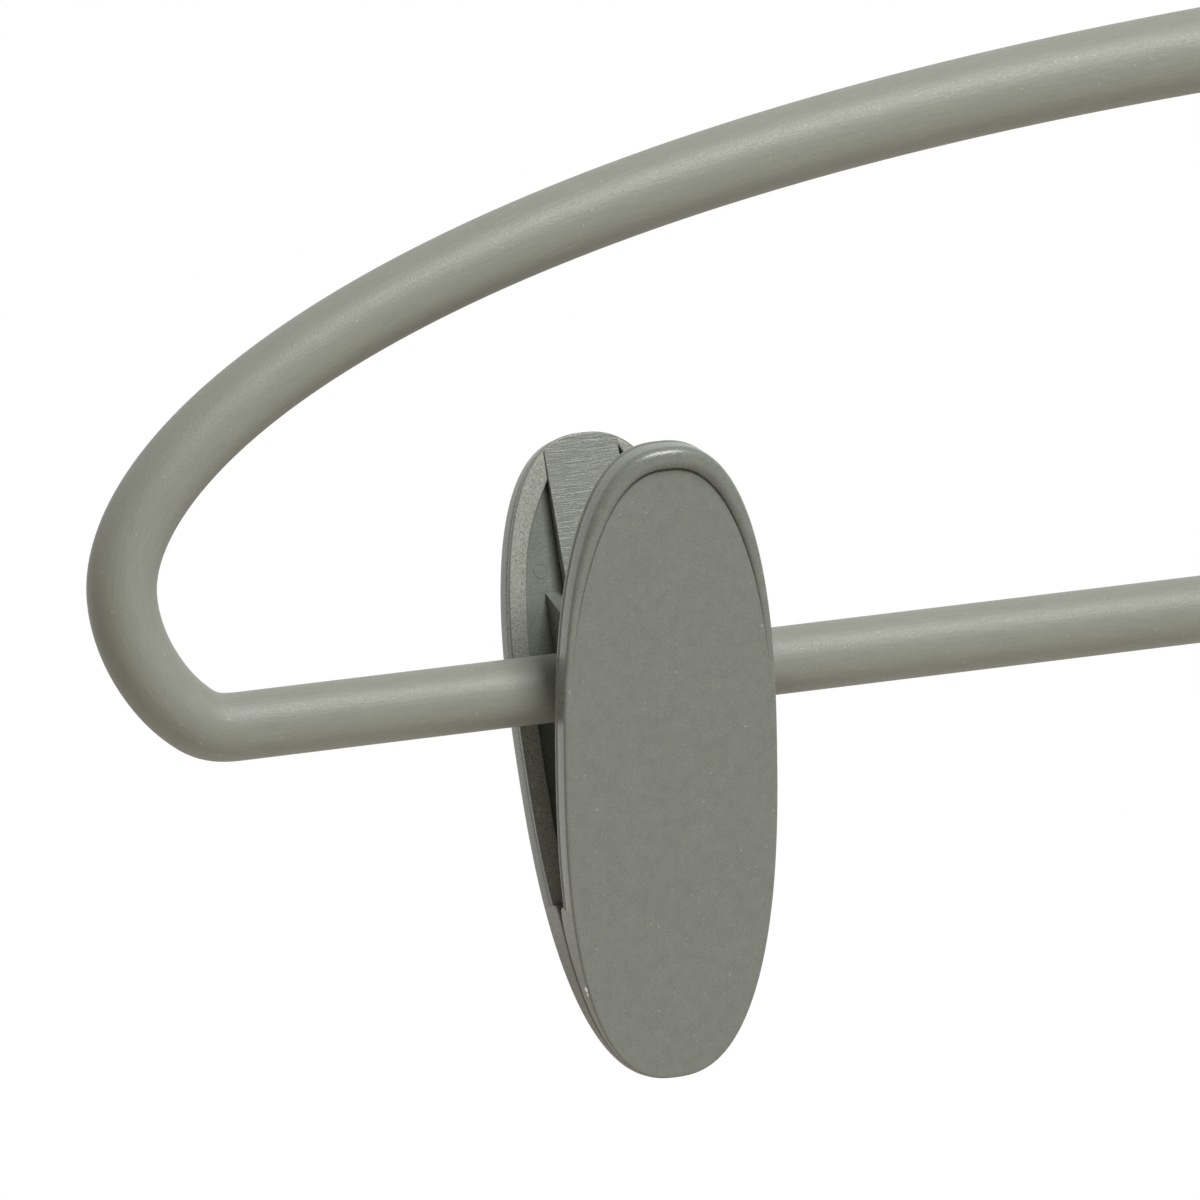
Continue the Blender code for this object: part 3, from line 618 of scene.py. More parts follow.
def loop_mesh(rod):
    """The rod, from its one end inside the boss round the frame to the other, and the boss itself."""
    points = loop_path(rod)
    lengths = path_lengths(points)
    bar_end = lengths[BAR_STEPS]
    widest = lengths[WIDEST]
    hidden_end = (rod.boss_radius + rod.recess_radius) / 2 - rod.round_over
    # Each station: its place in X and Z, the rod's direction there, its radius and how far along it lies.
    stations = []
    for i, point in enumerate(points):
        before = points[max(i - 1, 0)]
        after = points[min(i + 1, len(points) - 1)]
        heading = math.atan2(after.y - before.y, after.x - before.x)
        if i == len(points) - 1:
            heading = 0.0
        if i <= WIDEST:
            part = max((lengths[i] - bar_end) / (widest - bar_end), 0.0)
            diameter = rod.bar_diameter + (rod.end_diameter - rod.bar_diameter) * part
        else:
            part = (lengths[i] - widest) / (lengths[-1] - widest)
            diameter = rod.end_diameter + (rod.crown_diameter - rod.end_diameter) * part ** rod.taper
        stations.append(((point.x, point.y), heading, diameter / 2, lengths[i]))
    # The rod's two ends meet the boss inside its wall, short of the hook's head.
    left = [station for station in stations if station[1] > 0.0 or station[0][0] < -hidden_end]
    (x, z), heading, radius, along = stations[-1]
    left.append(((-hidden_end, z), 0.0, radius, along - hidden_end))
    right = [((-x, z), -heading, radius, -along) for (x, z), heading, radius, along in left[:0:-1]]
    whole = right + left
    skin = Skin()
    rings = [rod_ring(point, heading, radius, rod.rod_sides) for point, heading, radius, _ in whole]
    skin.sweep(rings, [along for _, _, _, along in whole], math.pi * rod.bar_diameter)
    crown_z = BAR_Z + rod.crown_height
    over = rod.round_over
    corners = [
        (rod.recess_radius, -rod.boss_drop + rod.recess_depth),
        (rod.recess_radius, -rod.boss_drop),
        (rod.boss_radius, -rod.boss_drop),
        (rod.boss_radius, rod.boss_shoulder),
        (rod.boss_top_radius, rod.boss_rise),
        (rod.bore_radius, rod.boss_rise),
        (rod.bore_radius, -rod.boss_drop + rod.recess_depth),
    ]
    radii = (0, over / 3, over, 4 * over, over, over / 3, 0)
    profile = rounded(corners, radii, steps=6)
    rings = turned_rings(profile, BOSS_SIDES, crown_z)
    skin.sweep(rings, path_lengths(profile + profile[:1]), 2 * math.pi * rod.boss_radius, closed=True)
    return skin.finish("frame_mesh")


def hook_mesh(hook, boss_top, boss_bottom, recess_depth):
    """The wire from its head, through the boss, round the neck bend and over the rail to its tip."""
    seat = hook.inner_radius + hook.wire_radius
    bend = math.acos(hook.neck_radius / (seat + hook.neck_radius))
    shank_top = -hook.inner_radius - (seat + hook.neck_radius) * math.sin(bend)
    up = math.pi / 2
    top = boss_bottom + recess_depth - hook.head_gap
    bottom = top - hook.head_height
    wire = hook.wire_radius
    head = hook.head_radius
    corners = [(0.0, bottom), (head, bottom), (head, top), (wire, top), (wire, boss_top)]
    radii = (0, hook.head_chamfer, hook.head_chamfer, hook.head_chamfer / 2, 0)
    # Each station: its place in X and Z, the wire's direction there and its radius.
    stations = [((0.0, z), up, radius) for radius, z in rounded(corners, radii)[1:]]
    for i in range(NECK_STEPS + 1):
        turn = math.pi - bend * i / NECK_STEPS
        point = (hook.neck_radius * (1 + math.cos(turn)), shank_top + hook.neck_radius * math.sin(turn))
        stations.append((point, turn - up, wire))
    for i in range(1, BOW_STEPS + 1):
        turn = -bend + (hook.tip_angle + bend) * i / BOW_STEPS
        point = (seat * math.cos(turn), -hook.inner_radius + seat * math.sin(turn))
        stations.append((point, turn + up, wire))
    (x, z), heading, _ = stations[-1]
    for i in range(1, TIP_STEPS + 1):
        # The rounding stops short of a point, so that a small flat closes the wire.
        turn = up * i / (TIP_STEPS + 0.3)
        ahead = wire * math.sin(turn)
        point = (x + ahead * math.cos(heading), z + ahead * math.sin(heading))
        stations.append((point, heading, wire * math.cos(turn)))
    skin = Skin()
    rings = [rod_ring(point, heading, radius, WIRE_SIDES) for point, heading, radius in stations]
    distances = path_lengths([point for point, _, _ in stations])
    skin.sweep(rings, distances, 2 * math.pi * wire)
    return skin.finish("hook_mesh", smooth_angle=50.0)


class ShellShape:
    """One clip shell: X across, Y up along it from the bar's axis, Z out of its flat face."""

    def __init__(self, clip):
        self.clip = clip
        self.top = clip.length / 2 - clip.centre_drop
        self.end = clip.length / 2 + clip.centre_drop
        self.parting = clip.jaw_gap / 2
        reach = math.hypot(clip.face_distance, self.end)
        tip = clip.jaw_tip + self.parting
        self.lean = math.acos(tip / reach) - math.atan2(self.end, clip.face_distance)
        self.sine = math.sin(self.lean)
        self.cosine = math.cos(self.lean)
        self.step = clip.jaw_length - self.end
        self.pocket_end = self.step + clip.jaw_ledge

    def matrix(self):
        """From the shell's own axes to those of the clip, whose origin is on the bar's axis."""
        distance = self.clip.face_distance
        return Matrix(((1, 0, 0, 0), (0, -self.sine, -self.cosine, -distance * self.cosine),
                       (0, self.cosine, -self.sine, -distance * self.sine), (0, 0, 0, 1)))

    def local(self, y, z):
        """A point of the clip's own cross-section, Y back and Z up from the bar's axis, in the shell."""
        out = -y * self.cosine - z * self.sine - self.clip.face_distance
        return z * self.cosine - y * self.sine, out

    def outline(self, turn, inset):
        """A point of the oval, or of one this far inside it."""
        power = 2 / self.clip.exponent
        across = math.copysign(abs(math.cos(turn)) ** power, math.cos(turn))
        along = math.copysign(abs(math.sin(turn)) ** power, math.sin(turn))
        height = (self.clip.length / 2 - inset) * along - self.clip.centre_drop
        return (self.clip.width / 2 - inset) * across, height

    def turn_at(self, height, inset):
        """The outline's parameter on the right side at this height."""
        along = (height + self.clip.centre_drop) / (self.clip.length / 2 - inset)
        return math.copysign(math.asin(abs(along) ** (self.clip.exponent / 2)), along)

    def parting_z(self, height):
        """The shell's Z on the jaw's face at this height, where its upper end bends away."""
        flat = (self.parting - height * self.sine) / self.cosine - self.clip.face_distance
        below = max(self.step - height, 0.0)
        bend = max(1 - below / self.clip.jaw_lead, 0.0)
        turn = max(1 - below / self.clip.jaw_round, 0.0)
        return flat + self.clip.jaw_bend * bend ** 2 + self.clip.jaw_round * (1 - math.sqrt(1 - turn ** 2))

    def turns(self):
        """Outline parameters, each with whether it lies on the jaw, doubled at the jaw's step."""
        step = self.turn_at(self.step, 0.0)
        # The jaw's upper corner turns tightly, so its points stand closer.
        drops = [self.clip.jaw_round * part for part in (0.01, 0.04, 0.12, 0.3, 0.6)]
        near = [step - self.turn_at(self.step - drop, 0.0) for drop in drops]
        made = []
        for low, high, extra in ((step, math.pi - step, []), (math.pi - step, 2 * math.pi + step, near)):
            size = round(self.clip.points * (high - low) / (2 * math.pi))
            even = [low + (high - low) * i / size for i in range(size + 1)]
            found = sorted(even + [low + gap for gap in extra] + [high - gap for gap in extra])
            made += [(turn, bool(extra)) for turn in found]
        return made

    def section(self, turn, jaw):
        """The skin's section at one point of the outline: pairs of inset and Z, from face to rim."""
        clip = self.clip
        height = self.outline(turn, 0.0)[1]
        fade = max(height / self.top, 0.0) ** clip.bead_fade
        half = clip.edge + (clip.bead_width / 2 - clip.edge) * fade
        rise = clip.bead_height * fade
        side = clip.edge + (clip.bead_side - clip.edge) * fade + rise
        crease = clip.bead_crease * fade
        # The face, the crease at its edge, the rolled edge's inner slope and its outer one.
        made = [(2 * half + 0.9 * crease, 0.0)]
        for sine, cosine in arc(90, 75, 60, 45, 30, 15):
            made.append((half * (1 + sine), (rise + crease) * cosine - crease))
        for sine, cosine in arc(90, 75, 60, 45, 30, 15, 0):
            made.append((half * (1 - cosine), rise - side * (1 - sine)))
        rim = self.parting_z(height) if jaw else -clip.depth
        # Towards the jaw's tip the side gets too low for the rim's full rounding.
        edge = min(clip.rim_edge, 0.25 * abs(rim))
        start = made[-1][1]
        end = rim + edge
        seam = 0.0 if jaw else clip.seam_depth
        for part, deeper in ((-clip.seam_half, 0.0), (0.0, seam), (clip.seam_half, 0.0)):
            made.append((deeper, start + (end - start) * (part + clip.seam_height)))
        for sine, cosine in arc(0, 30, 60, 90):
            made.append((edge * (1 - cosine), rim + edge * (1 - sine)))
        return made

    def pocket_side(self, edge, tip):
        """One side of the pocket's outline, from the pad's lower corner up, over and down to the jaw."""
        clip = self.clip
        inset = clip.rim
        first = self.turn_at(tip - 3 * clip.rim, inset)
        last = self.turn_at(self.pocket_end, inset)
        steps = 54
        corner_steps = 5
        outer = [self.outline(first + (last - first) * i / steps, inset) for i in range(steps + 1)]
        # The tip is a curve from the oval, and the lower corner takes the place of its last steps.
        start = Vector((*outer[0], 0.0))
        slope = (start - Vector((*outer[1], 0.0))).normalized()
        end = Vector((edge, tip, 0.0))
        reach = (end - start).length / 3
        bend = interpolate_bezier(start, start + slope * reach, end, end, 9)
        upper = [tuple(point.xy) for point in reversed(bend)]
        corner = outer[-1]
        turned = rounded([outer[-1 - corner_steps], corner, (0.0, corner[1])], (0, clip.rim / 2, 0))[1:-1]
        return [(edge, clip.pad_end)] + upper[:-1] + outer[:-corner_steps] + turned

    def pocket(self):
        """The pocket's outline on the rim's plane, clockwise from the pad's lower right corner."""
        clip = self.clip
        right = self.pocket_side(clip.pad_half + clip.pad_off, clip.pocket_near)
        left = self.pocket_side(clip.pad_half - clip.pad_off, clip.pocket_far)
        return right + [(-x, y) for x, y in reversed(left)]


def offset_loop(points, distance):
    """A closed loop moved to its right by a distance, with mitres, cut short at sharp corners."""
    made = []
    for i, point in enumerate(points):
        here = Vector(point)
        first = (here - Vector(points[i - 1])).normalized()
        second = (Vector(points[(i + 1) % len(points)]) - here).normalized()
        along = (first + second).normalized()
        out = Vector((along.y, -along.x))
        made.append(tuple(here + out * distance / max(along.dot(first), 0.4)))
    return made


def add_shell_skin(skin, shape):
    """The shell's face, rolled edge, side, rim and jaw face."""
    clip = shape.clip
    turns = shape.turns()
    columns = [[(*shape.outline(turn, inset), z) for inset, z in shape.section(turn, jaw)]
               for turn, jaw in turns]
    rings = [skin.loop(ring) for ring in zip(*columns)]
    skin.bridge(rings)
    skin.cap(rings[0])
    edge = rings[-1]
    upper = [vertex for vertex, (_, jaw) in zip(edge, turns) if not jaw]
    lower = [vertex for vertex, (_, jaw) in zip(edge, turns) if jaw]
    skin.work.faces.new((upper[0], upper[-1], lower[0], lower[-1]))
    pocket = shape.pocket()
    rim = clip.rim_edge
    # The pocket's rounded edge, its wall and the rounding at its floor, as offsets and Z.
    levels = [
        (-rim, -clip.depth),
        (-rim * 0.3, -clip.depth + rim * 0.3),
        (0.0, -clip.depth + rim),
        (0.0, -clip.wall - 2 * rim),
        (rim * 0.6, -clip.wall - rim * 0.6),
        (2 * rim, -clip.wall),
    ]
    walls = [skin.loop([(*point, z) for point in offset_loop(pocket, distance)]) for distance, z in levels]
    skin.bridge(walls)
    skin.fill([upper, walls[0]], COARSE)
    skin.fill([walls[-1]])
    # The jaw's bent upper end is closed in strips across it, and the flat rest round the grooves.
    rows = sum(vertex.co.y > shape.step - clip.jaw_lead for vertex in lower) // 2
    for k in range(rows):
        skin.work.faces.new((lower[k], lower[k + 1], lower[-2 - k], lower[-1 - k]))
    holes = [add_groove(skin, shape, index) for index in range(clip.groove_count)]
    skin.fill([lower[rows:len(lower) - rows]] + holes)


def add_groove(skin, shape, index):
    """One V-shaped grip groove in the jaw's face, and the loop that it leaves there."""
    clip = shape.clip
    depth = clip.groove_depth
    middle = -shape.end + clip.groove_end + index * clip.groove_pitch
    corners = []
    for x, z in ((-1, -1), (1, -1), (1, 1), (-1, 1)):
        y, out = shape.local(-shape.parting, middle + z * depth)
        corners.append((x * clip.groove_half, y, out))
    loop = skin.loop(corners)
    y, out = shape.local(-shape.parting - depth, middle)
    bottom = skin.loop([(-clip.groove_half + depth, y, out), (clip.groove_half - depth, y, out)])
    skin.work.faces.new((loop[0], loop[1], bottom[1], bottom[0]))
    skin.work.faces.new((loop[2], loop[3], bottom[0], bottom[1]))
    skin.work.faces.new((loop[1], loop[2], bottom[1]))
    skin.work.faces.new((loop[3], loop[0], bottom[0]))
    return loop


def add_cheeks(skin, shape):
    """The two cheeks that ride on the bar, and the bridge between them."""
    clip = shape.clip
    # The profile is drawn in the clip's own cross-section, Y back and Z up from the bar's axis.
    place = shape.matrix()
    root = -clip.wall / 2
    top = (place @ Vector((0.0, clip.cheek_top, root))).yz
    low = (place @ Vector((0.0, shape.pocket_end + clip.cheek_gap, root))).yz
    slope = math.tan(clip.cheek_slope - shape.lean)
    lean = math.tan(clip.relief)
    tip_z = (top.y + slope * (top.x + shape.parting)) / (1 + slope * lean)
    # Above the bar a cheek leans back from the parting plane. Its seat starts where that line meets it.
    a = 1 + lean * lean
    b = 2 * shape.parting * lean
    c = shape.parting ** 2 - clip.bore ** 2
    seat_z = (-b + math.sqrt(b * b - 4 * a * c)) / (2 * a)
    start = math.atan2(seat_z, -shape.parting - seat_z * lean)
    end = math.atan2(-math.sqrt(-c), -shape.parting) + 2 * math.pi
    seat = [start + (end - start) * i / SEAT_STEPS for i in range(SEAT_STEPS + 1)]
    profile = [tuple(top), (-shape.parting - tip_z * lean, tip_z)]
    profile += [(clip.bore * math.cos(turn), clip.bore * math.sin(turn)) for turn in seat]
    profile += [(-shape.parting, low.y), tuple(low)]
    cheek = [shape.local(y, z) for y, z in profile]
    for side in (-1, 1):
        skin.block(cheek, side * clip.cheek_inner, side * clip.cheek_outer, clip.bevel)
    front = -shape.parting - clip.bridge_recess
    back = front - clip.bridge_thickness
    foot = low.y + clip.bridge_recess
    head = foot + clip.bridge_height
    bridge = [shape.local(y, z) for y, z in ((back, head), (front, head), (front, foot), (back, foot))]
    reach = (clip.cheek_inner + clip.cheek_outer) / 2
    skin.block(bridge, -reach, reach, clip.bevel)


def add_pad(skin, shape):
    """The milled pad inside the upper end, flush with the rim at its top and proud at its foot."""
    clip = shape.clip
    inset = clip.rim_edge
    sides = (clip.pad_half + clip.pad_off, clip.pad_off - clip.pad_half)
    turns = []
    for x in sides:
        turn = math.acos((abs(x) / (clip.width / 2 - inset)) ** (clip.exponent / 2))
        turns.append(turn if x > 0 else math.pi - turn)
    first, last = turns
    top = [shape.outline(first + (last - first) * i / PAD_STEPS, inset) for i in range(PAD_STEPS + 1)]
    outline = [(sides[1], clip.pad_end), (sides[0], clip.pad_end)] + top
    slant = clip.pad_rise / (shape.top - clip.pad_end)
    upper = skin.loop([(x, y, -clip.depth - clip.pad_step - slant * (shape.top - y)) for x, y in outline])
    lower = skin.loop([(x, y, -clip.wall + clip.bevel) for x, y in outline])
    skin.bridge([upper, lower])
    skin.cap(upper, MILLED)
    skin.cap(lower)
    skin.bevel([skin.work.edges.get((upper[i - 1], upper[i])) for i in range(len(upper))], clip.bevel / 2)


def add_pin_marks(skin, shape):
    """The two faint round marks that the ejector pins leave on the pocket's floor."""
    clip = shape.clip
    # A mark is a low ring round a flat: shares of its radius, and shares of the ring's height.
    profile = ((1.0, -1.0), (0.96, 1.0), (0.84, 1.0), (0.80, 1 / 3))
    for side in (-1, 1):
        loops = []
        for part, rise in profile:
            ring = circle(clip.pin_radius * part, PIN_MARK_SIDES)
            z = -clip.wall - clip.pin_height * rise
            loops.append(skin.loop([(side * clip.pin_across + x, clip.pin_along + y, z) for x, y in ring]))
        skin.bridge(loops)
        skin.cap(loops[0])
        skin.cap(loops[-1])


def add_gate_mark(skin, shape):
    """Two torn nubs on the jaw's side, where the plastic entered the mould."""
    nub = shape.clip.gate_radius
    stretch = Matrix.Diagonal((1.0, 1.3, 1.0, 1.0))
    for drop, size in ((0.0, 1.0), (2 * nub, 0.8)):
        x, y = shape.outline(shape.turn_at(-shape.clip.gate_drop - drop, 0.0), nub / 2)
        place = Matrix.Translation((-x, y, -1.5 * nub)) @ stretch
        made = bmesh.ops.create_icosphere(skin.work, subdivisions=3, radius=nub * size, matrix=place)
        for face in {face for vertex in made["verts"] for face in vertex.link_faces}:
            face.material_index = TORN


def shell_mesh(clip):
    """The front shell, with its origin on the bar's axis."""
    shape = ShellShape(clip)
    skin = Skin()
    for add_part in (add_shell_skin, add_cheeks, add_pad, add_pin_marks, add_gate_mark):
        add_part(skin, shape)
    mesh = skin.finish("clip_shell_mesh", smooth_angle=42.0)
    mesh.transform(shape.matrix())
    return mesh


def spring_half_mesh(spring):
    """One half of the strip, from the top of the loop over the bar down to the end of its leg."""
    leg = Vector((-spring.leg, -spring.bend))
    leave = math.atan2(spring.leg, spring.bend) + math.acos(spring.loop / leg.length)
    path = []
    for i in range(SPRING_STEPS + 1):
        turn = math.pi - (math.pi - leave) * i / SPRING_STEPS
        path.append((-spring.loop * math.sin(turn), -spring.loop * math.cos(turn)))
    bent = rounded([path[-1], tuple(leg), (-spring.leg, -spring.tip)], (0, spring.bend_radius, 0), steps=6)
    path += bent[1:]
    half = spring.thickness / 2
    round_off = half * 0.7
    # The strip's section, with its four edges rounded: across it, and out from its middle.
    section = []
    for number, (side, face) in enumerate(((1, 1), (-1, 1), (-1, -1), (1, -1))):
        for sine, cosine in arc(*[90 * number + degrees for degrees in (0, 30, 60, 90)]):
            section.append((side * (spring.width / 2 - round_off) + round_off * cosine,
                            face * (half - round_off) + round_off * sine))
    rings = []
    for i, point in enumerate(path):
        here = Vector(point)
        along = (Vector(path[min(i + 1, len(path) - 1)]) - Vector(path[max(i - 1, 0)])).normalized()
        if i == 0:
            along = Vector((-1.0, 0.0))
        out = Vector((along.y, -along.x))
        rings.append([(x, *(here + out * depth)) for x, depth in section])
    skin = Skin()
    skin.sweep(rings, path_lengths(path), 2 * spring.width)
    return skin.finish("spring_half_mesh", smooth_angle=50.0)


def clip_halves():
    """Each clip half's side, name and place. A rear half is a front one turned round."""
    for side in SIDES:
        centre = Vector(JOINTS[side + "_clip_front_pinch"]["pos_m"])
        for half, turn in (("front", 0.0), ("rear", math.pi)):
            yield side, half, Matrix.Translation(centre) @ Matrix.Rotation(turn, 4, "Z")


class HANGER_OT_rod(bpy.types.Operator):
    """Build the moulded frame: bar, round ends, shoulders and neck boss"""

    bl_idname = "hanger.rod"
    bl_label = "Frame"

    def execute(self, context):
        scene = context.scene
        mesh = loop_mesh(scene.hanger_rod)
        piece = place_piece("moulded_frame", mesh, [satin_polypropylene(scene.hanger_finish)])
        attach(piece, "frame")
        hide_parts("frame")
        return {"FINISHED"}


class HANGER_OT_hook(bpy.types.Operator):
    """Build the bent wire hook with its upset head"""

    bl_idname = "hanger.hook"
    bl_label = "Hook"

    def execute(self, context):
        scene = context.scene
        rod = scene.hanger_rod
        crown = BAR_Z + rod.crown_height
        mesh = hook_mesh(scene.hanger_hook, crown + rod.boss_rise, crown - rod.boss_drop, rod.recess_depth)
        steel = metal("steel_wire_nickel_plated", scene.hanger_finish.wire, streak_gap=0.25 * MM,
                      roughness=0.22)
        piece = place_piece("wire_hook", mesh, [steel])
        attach(piece, "hook")
        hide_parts("hook")
        return {"FINISHED"}


class HANGER_OT_shells(bpy.types.Operator):
    """Build the four oval shells of the two pinch clips"""

    bl_idname = "hanger.shells"
    bl_label = "Clip shells"

    def execute(self, context):
        scene = context.scene
        finish = scene.hanger_finish
        # In the order of the mesh's slots.
        materials = [
            eroded_polypropylene(finish, "polypropylene_fine_eroded", grain_size=0.22 * MM,
                                 relief_strength=0.34, salt=0.06),
            eroded_polypropylene(finish, "polypropylene_milled", grain_size=0.15 * MM,
                                 relief_strength=0.45, salt=0.12, lines=0.36),
            eroded_polypropylene(finish, "polypropylene_coarse_eroded", grain_size=0.13 * MM,
                                 relief_strength=1.0, salt=0.34),
            torn_polypropylene(finish),
        ]
        mesh = shell_mesh(scene.hanger_clip)
        for side, half, matrix in clip_halves():
            piece = place_piece(f"{side}_{half}_shell", mesh, materials, matrix)
            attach(piece, f"{side}_{half}_half")
            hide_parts(f"{side}_clip_{half}_shell")
        return {"FINISHED"}


class HANGER_OT_springs(bpy.types.Operator):
    """Build the bent strip spring of each clip, as two halves"""

    bl_idname = "hanger.springs"
    bl_label = "Springs"

    def execute(self, context):
        scene = context.scene
        spring = scene.hanger_spring
        steel = metal("spring_steel_rolled", scene.hanger_finish.spring, streak_gap=0.20 * MM,
                      roughness=0.34)
        mesh = spring_half_mesh(spring)
        for side, half, matrix in clip_halves():
            # Each piece has its own copy of the mesh.
            piece = place_piece(f"{side}_spring_{half}_half", mesh.copy(), [steel], matrix)
            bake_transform(piece)
            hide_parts(side + "_clip_spring")
        return {"FINISHED"}


def backdrop_material(finish, radius):
    """A pale painted floor that takes a shadow and fades to the backdrop's white at its edge."""
    made, tree, output = new_material("studio_floor_pale_paint")
    spot = add_node(tree, "ShaderNodeTexCoord")
    reach = add_node(tree, "ShaderNodeVectorMath", {"operation": "LENGTH"}, {0: (spot, "Object")})
    fade = add_node(tree, "ShaderNodeMapRange", {"From Min": 0.15 * radius, "From Max": 0.75 * radius},
                    {"Value": (reach, "Value")})
    paint = add_node(tree, "ShaderNodeBsdfDiffuse", {"Color": linear(finish.floor)})
    white = add_node(tree, "ShaderNodeEmission", {"Color": linear(finish.backdrop), "Strength": 1.0})
    rays = add_node(tree, "ShaderNodeLightPath")
    seen = add_node(tree, "ShaderNodeMath", {"operation": "MULTIPLY"},
                    {0: (fade, "Result"), 1: (rays, "Is Camera Ray")})
    mixed = add_node(tree, "ShaderNodeMixShader",
                     links={0: (seen, "Value"), 1: (paint, "BSDF"), 2: (white, "Emission")})
    tree.links.new(mixed.outputs["Shader"], output.inputs["Surface"])
    return made


def add_floor(stage, finish, place):
    """A round floor, level and centred at a place."""
    skin = Skin()
    skin.cap(skin.loop([(x, y, 0.0) for x, y in circle(stage.floor_radius, FLOOR_SIDES)]))
    floor = bpy.data.objects.new("floor", skin.finish("floor_mesh"))
    floor.location = place
    floor.data.materials.append(backdrop_material(finish, stage.floor_radius))
    bpy.context.scene.collection.objects.link(floor)


def studio_world(stage, finish):
    """Soft light that differs by its direction, and the white backdrop as the camera sees it."""
    world = bpy.data.worlds.new("studio")
    world.use_nodes = True
    tree = world.node_tree
    tree.nodes.clear()
    output = add_node(tree, "ShaderNodeOutputWorld")
    way = add_node(tree, "ShaderNodeTexCoord")
    axes = add_node(tree, "ShaderNodeSeparateXYZ", links={"Vector": (way, "Generated")})
    rearward = add_node(tree, "ShaderNodeMapRange", {"From Min": -0.2, "From Max": 0.8},
                        {"Value": (axes, "Y")})
    leftward = add_node(tree, "ShaderNodeMapRange", {"From Min": 0.1, "From Max": -0.8},
                        {"Value": (axes, "X")})
    near = add_node(tree, "ShaderNodeMix",
                    {"data_type": "RGBA", FIRST: linear(stage.sky_front), SECOND: linear(stage.sky_left)},
                    {FACTOR: (leftward, "Result")})
    graded = add_node(tree, "ShaderNodeMix", {"data_type": "RGBA", SECOND: linear(stage.sky_rear)},
                      {FACTOR: (rearward, "Result"), FIRST: (near, MIXED)})
    soft = add_node(tree, "ShaderNodeBackground", {"Strength": 1.0}, {"Color": (graded, MIXED)})
    white = add_node(tree, "ShaderNodeBackground", {"Color": linear(finish.backdrop), "Strength": 1.0})
    rays = add_node(tree, "ShaderNodeLightPath")
    straight = add_node(tree, "ShaderNodeMath", {"operation": "MAXIMUM"},
                        {0: (rays, "Is Camera Ray"), 1: (rays, "Is Transmission Ray")})
    # The backdrop stands behind the hanger, so shiny pieces mirror its white only from there.
    mirrored = add_node(tree, "ShaderNodeMath", {"operation": "MULTIPLY"},
                        {0: (rays, "Is Glossy Ray"), 1: (rearward, "Result")})
    seen = add_node(tree, "ShaderNodeMath", {"operation": "MAXIMUM"},
                    {0: (straight, "Value"), 1: (mirrored, "Value")})
    mixed = add_node(tree, "ShaderNodeMixShader",
                     links={0: (seen, "Value"), 1: (soft, "Background"), 2: (white, "Background")})
    tree.links.new(mixed.outputs["Shader"], output.inputs["Surface"])
    return world


def add_key_light(stage, aim):
    """A large soft box, high in front and to the right, that looks at a point."""
    flat = math.cos(stage.key_rise)
    toward = Vector((math.sin(stage.key_azimuth) * flat, -math.cos(stage.key_azimuth) * flat,
                     math.sin(stage.key_rise)))
    data = bpy.data.lights.new("key_box", "AREA")
    data.shape = "RECTANGLE"
    data.size = stage.key_width
    data.size_y = stage.key_height
    data.energy = stage.key_power
    data.color = linear(stage.key_tint)[:3]
    lamp = bpy.data.objects.new("key_box", data)
    lamp.location = aim + stage.key_distance * toward
    lamp.rotation_euler = (-toward).to_track_quat("-Z", "Y").to_euler()
    bpy.context.scene.collection.objects.link(lamp)


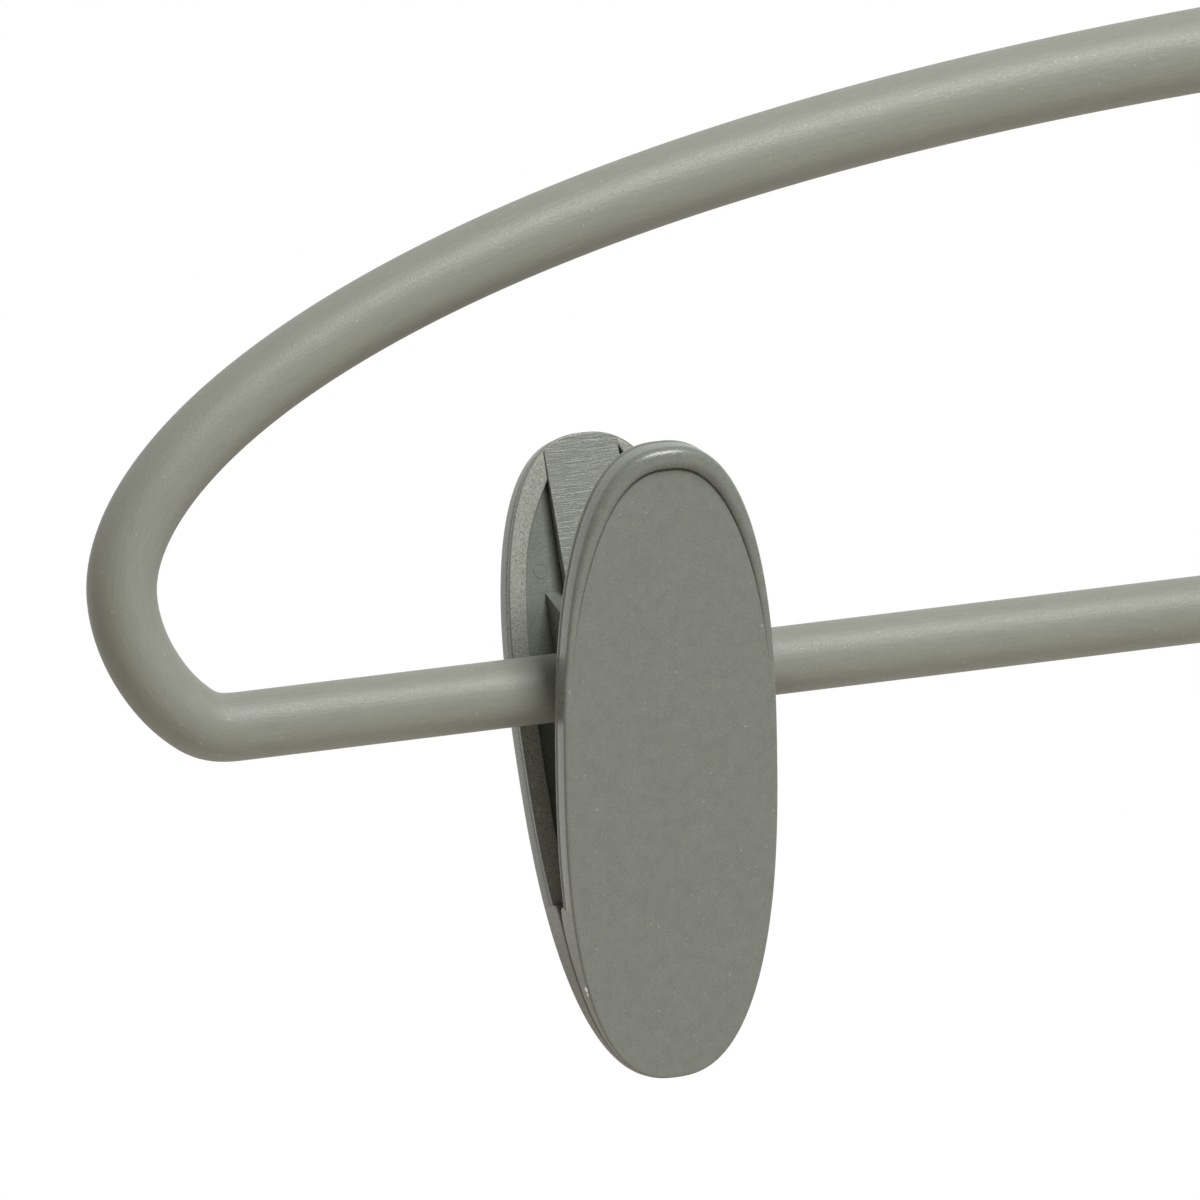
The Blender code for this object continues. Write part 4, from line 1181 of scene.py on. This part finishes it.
def add_camera(stage, clip):
    """The photograph's camera, to the left of the front and above, looking past the left clip."""
    flat = math.cos(stage.pitch)
    ahead = Vector((math.sin(stage.azimuth) * flat, math.cos(stage.azimuth) * flat, -math.sin(stage.pitch)))
    right = Vector((math.cos(stage.azimuth), -math.sin(stage.azimuth), 0.0))
    up = right.cross(ahead)
    rolled_right = right * math.cos(stage.roll) - up * math.sin(stage.roll)
    rolled_up = right * math.sin(stage.roll) + up * math.cos(stage.roll)
    aim = clip + Vector((-stage.aim_across, 0.0, stage.aim_above))
    data = bpy.data.cameras.new("photo_camera")
    data.lens = stage.focal_length
    data.sensor_width = stage.sensor
    data.clip_start = 0.01
    camera = bpy.data.objects.new("photo_camera", data)
    turn = Matrix((rolled_right, rolled_up, -ahead)).transposed().to_4x4()
    camera.matrix_world = Matrix.Translation(aim - ahead * stage.distance) @ turn
    bpy.context.scene.collection.objects.link(camera)
    return camera


class HANGER_OT_stage(bpy.types.Operator):
    """Build the floor, the lights, the world and the camera"""

    bl_idname = "hanger.stage"
    bl_label = "Stage"

    def execute(self, context):
        scene = context.scene
        stage = scene.hanger_stage
        clip = Vector(JOINTS["left_clip_front_pinch"]["pos_m"])
        add_floor(stage, scene.hanger_finish, Vector((0.0, 0.0, BAR_Z - stage.floor_drop)))
        scene.world = studio_world(stage, scene.hanger_finish)
        add_key_light(stage, clip)
        scene.camera = add_camera(stage, clip)
        scene.view_settings.view_transform = "Standard"
        return {"FINISHED"}


class HANGER_PT_panel(bpy.types.Panel):
    """Buttons for the hanger's pieces and the stage"""

    bl_idname = "HANGER_PT_panel"
    bl_label = "Clip hanger"
    bl_space_type = "VIEW_3D"
    bl_region_type = "UI"
    bl_category = "Hanger"

    def draw(self, context):
        for operator in OPERATORS:
            self.layout.operator(operator.bl_idname)


SETTINGS = {
    "hanger_rod": HangerRodSettings,
    "hanger_hook": HangerHookSettings,
    "hanger_clip": HangerClipSettings,
    "hanger_spring": HangerSpringSettings,
    "hanger_finish": HangerFinishSettings,
    "hanger_stage": HangerStageSettings,
}
OPERATORS = (HANGER_OT_rod, HANGER_OT_hook, HANGER_OT_shells, HANGER_OT_springs, HANGER_OT_stage)
CLASSES = tuple(SETTINGS.values()) + OPERATORS + (HANGER_PT_panel,)


def register():
    for item in CLASSES:
        bpy.utils.register_class(item)
    for name, group in SETTINGS.items():
        setattr(bpy.types.Scene, name, bpy.props.PointerProperty(type=group))


def unregister():
    for name in SETTINGS:
        delattr(bpy.types.Scene, name)
    for item in reversed(CLASSES):
        bpy.utils.unregister_class(item)


def main():
    """Build everything."""
    register()
    bpy.ops.hanger.rod()
    bpy.ops.hanger.hook()
    bpy.ops.hanger.shells()
    bpy.ops.hanger.springs()
    bpy.ops.hanger.stage()


if __name__ == "__main__":
    main()
